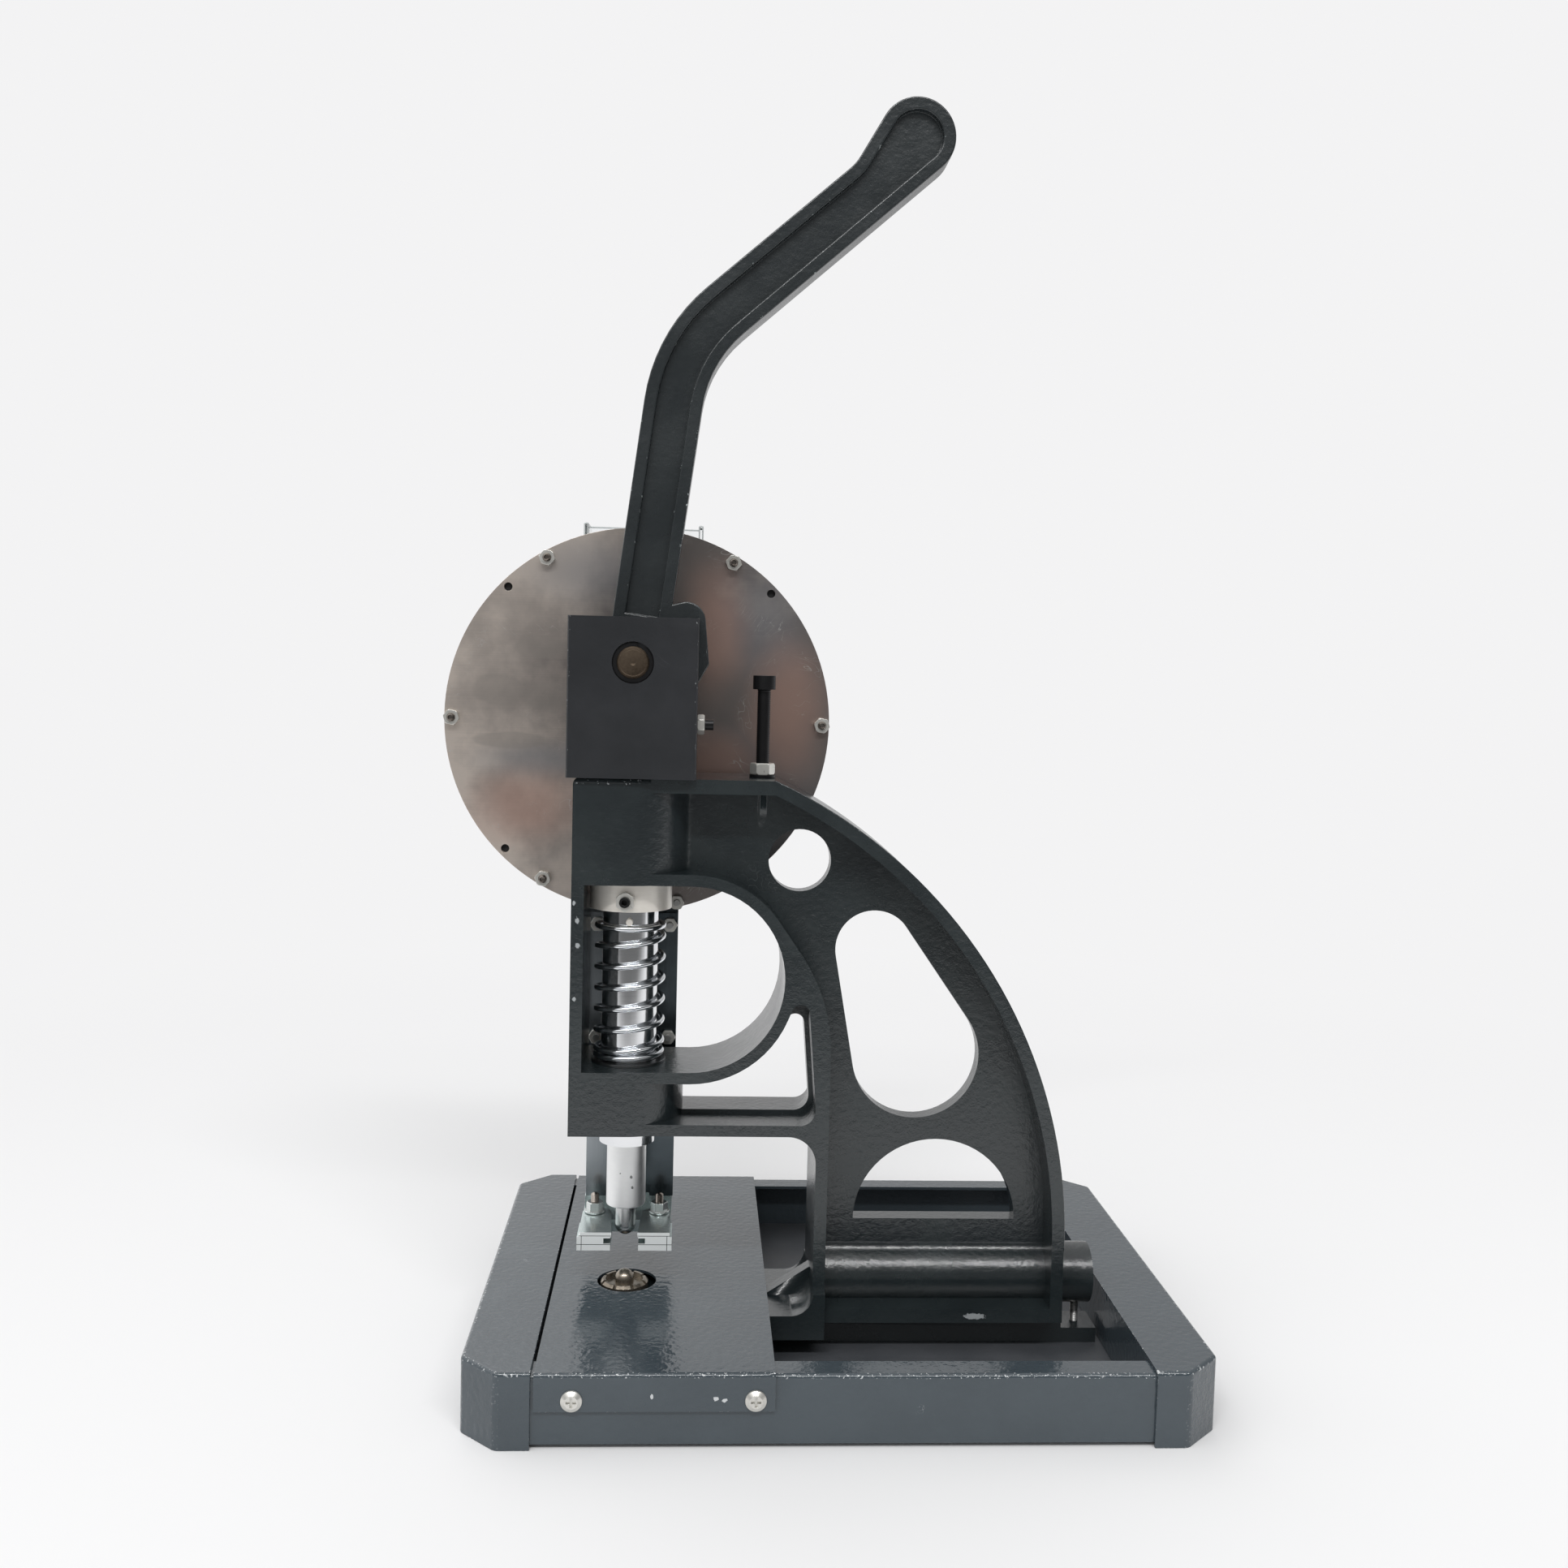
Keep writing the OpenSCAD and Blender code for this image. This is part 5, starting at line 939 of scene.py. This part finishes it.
def makeRimScrews(c):
    low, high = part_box("rim_screws")
    middle = middleOf("hopper_disc")
    length = (high[1] - low[1]) / mm
    under = length - c["headHeight"]
    inward, down = c["headEdge"]
    outline = [*c["tip"], *threadOutline(*c["thread"], c["radius"], c["pitch"], c["depth"]),
               (c["radius"], c["shank"]), (c["radius"], under), (c["headRadius"], under),
               (c["headRadius"], length - down), (c["headRadius"] - inward, length),
               *[(radius, length - deep) for radius, deep in c["socket"]]]
    bm = bmesh.new()
    for i in range(c["count"]):
        angle = 2 * math.pi * i / c["count"]
        place = (middle.x + c["circle"] * mm * math.cos(angle), low[1],
                 middle.z + c["circle"] * mm * math.sin(angle))
        lathe(bm, outline, place, (0, 1, 0), c["sides"])
    settle(bm, "rimScrews", "rim_screws")


pivotPin = {
    "radius": 9.0, "grooveRadius": 8.2, "grooveWide": 1.2, "sides": 48,
    "face": ((0, 0.7), (1.3, 0.15), (2.0, 0), (6.8, 0), (7.0, 0.12), (7.3, 0.12), (7.5, 0), (8.1, 0.05),
             (9.0, 0.9)),
}


def makePivotPin(c):
    low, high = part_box("pivot_pin")
    length = (high[1] - low[1]) / mm
    groove = (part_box("pivot_rings")[0][1] - low[1]) / mm
    half = [*c["face"], (c["radius"], groove), (c["grooveRadius"], groove),
            (c["grooveRadius"], groove + c["grooveWide"]), (c["radius"], groove + c["grooveWide"])]
    outline = half + [(radius, length - along) for radius, along in reversed(half)]
    bm = bmesh.new()
    lathe(bm, outline, (ramAxis.x, low[1], middleOf("pivot_pin").z), (0, 1, 0), c["sides"])
    settle(bm, "pivotPin", "pivot_pin")


makeStopScrew(stopScrew)
makeJawScrews(jawStud)
makeRearScrew(rearScrew)
makeRimScrews(rimScrew)
makePivotPin(pivotPin)
otherFinish = {"springSeat": "seatSteel", "pilotPin": "pilotSteel", "jawNuts": "nutSteel",
               "jawScrews": "studSteel", "rimScrews": "studSteel"}
for name, look in otherFinish.items():
    bpy.data.objects[name].material_slots[0].material = finish[look]
print("screws and pin turned")


# Base
baseBends = {"bend": 2.2, "segments": 4, "edge": 0.5, "capFrom": 163.5, "capTop": 40.8, "wall": 154.8,
             "railWall": 152.8, "longOver": 50, "topOver": 38, "uprightWear": 0.15}
baseMiddle = (middleOf("base_cap_left").x + middleOf("base_cap_right").x) / 2


def outerBend(edge):
    spanX = [abs(vert.co.x - baseMiddle) / mm for vert in edge.verts]
    heights = [vert.co.z / mm for vert in edge.verts]
    if min(heights) > baseBends["capTop"]:
        return max(spanX) > baseBends["capFrom"]
    return max(heights) > baseBends["capTop"] and min(spanX) > baseBends["capFrom"]


def sheetBend(wall):
    def test(edge):
        reach = [abs(vert.co.y) / mm for vert in edge.verts]
        along = abs(edge.verts[0].co.x - edge.verts[1].co.x)
        top = min(vert.co.z for vert in edge.verts) / mm
        return min(reach) > wall and along > baseBends["longOver"] * mm and top > baseBends["topOver"]
    return test


def foldSheet(node, where, uprightWear=1.0):
    c = baseBends
    soften(node, camel(node), [
        {"width": c["bend"], "segments": c["segments"], "where": where, "uprightWear": uprightWear},
        {"width": c["edge"], "uprightWear": uprightWear},
    ])


for node in ("base_cap_left", "base_cap_right"):
    foldSheet(node, outerBend, baseBends["uprightWear"])
for node in ("base_rail_front", "base_rail_back"):
    foldSheet(node, sheetBend(baseBends["railWall"]))
foldSheet("table_plate", sheetBend(baseBends["wall"]))
print("base folded")


# Castings
castingEdges = {"webHalf": 6.0, "fillet": 3.4, "holeEdge": 2.0, "shoulder": 3.6, "top": 338.0, "headHalf": 36,
                "archEdge": 2.4, "archAngle": 60, "archMiddle": (-140.57, 71.5), "archRadius": 292.0,
                "archHalfWidth": 29, "edge": 1.4, "near": 0.03, "archNear": 0.2}


def onWeb(edge):
    half = castingEdges["webHalf"]
    return all(abs(abs(vert.co.y - ramAxis.y) / mm - half) < castingEdges["near"] for vert in edge.verts)


def onShoulder(edge):
    right = ramAxis.x + castingEdges["headHalf"] * mm
    return all(abs(vert.co.z / mm - castingEdges["top"]) < castingEdges["near"] and vert.co.x < right
               for vert in edge.verts)


def onArch(edge):
    c = castingEdges
    x, z = c["archMiddle"]
    for vert in edge.verts:
        away = math.hypot(vert.co.x / mm - x, vert.co.z / mm - z) - c["archRadius"]
        if abs(away) > c["archNear"] or abs(vert.co.y - ramAxis.y) < c["archHalfWidth"] * mm:
            return False
    return True


soften("frame_casting", "frameCasting", [
    {"width": castingEdges["fillet"], "segments": 4, "convex": False, "where": onWeb},
    {"width": castingEdges["holeEdge"], "segments": 3, "where": onWeb},
    {"width": castingEdges["shoulder"], "segments": 4, "where": onShoulder},
    {"width": castingEdges["archEdge"], "segments": 4, "angle": castingEdges["archAngle"], "where": onArch},
    {"width": castingEdges["edge"], "segments": 3},
])


blockEdges = {"upright": 1.6, "tallOver": 60, "other": 1.0}
leverEdges = {"outer": 1.8, "inner": 1.5}


def upright(edge):
    return abs(edge.verts[0].co.z - edge.verts[1].co.z) > blockEdges["tallOver"] * mm


soften("head_block", "headBlock", [{"width": blockEdges["upright"], "segments": 3, "where": upright},
                                   {"width": blockEdges["other"], "segments": 3}])
soften("lever", "leverArm", [{"width": leverEdges["outer"], "segments": 3},
                             {"width": leverEdges["inner"], "segments": 3, "convex": False}])
print("castings softened")

# A node that no piece replaces gets its finish as it is
for node in nodes:
    if not nodes[node].hide_render:
        for slot in nodes[node].material_slots:
            slot.material = finish[finishOfSlot[slotOfNode[node]]]

print("finished")
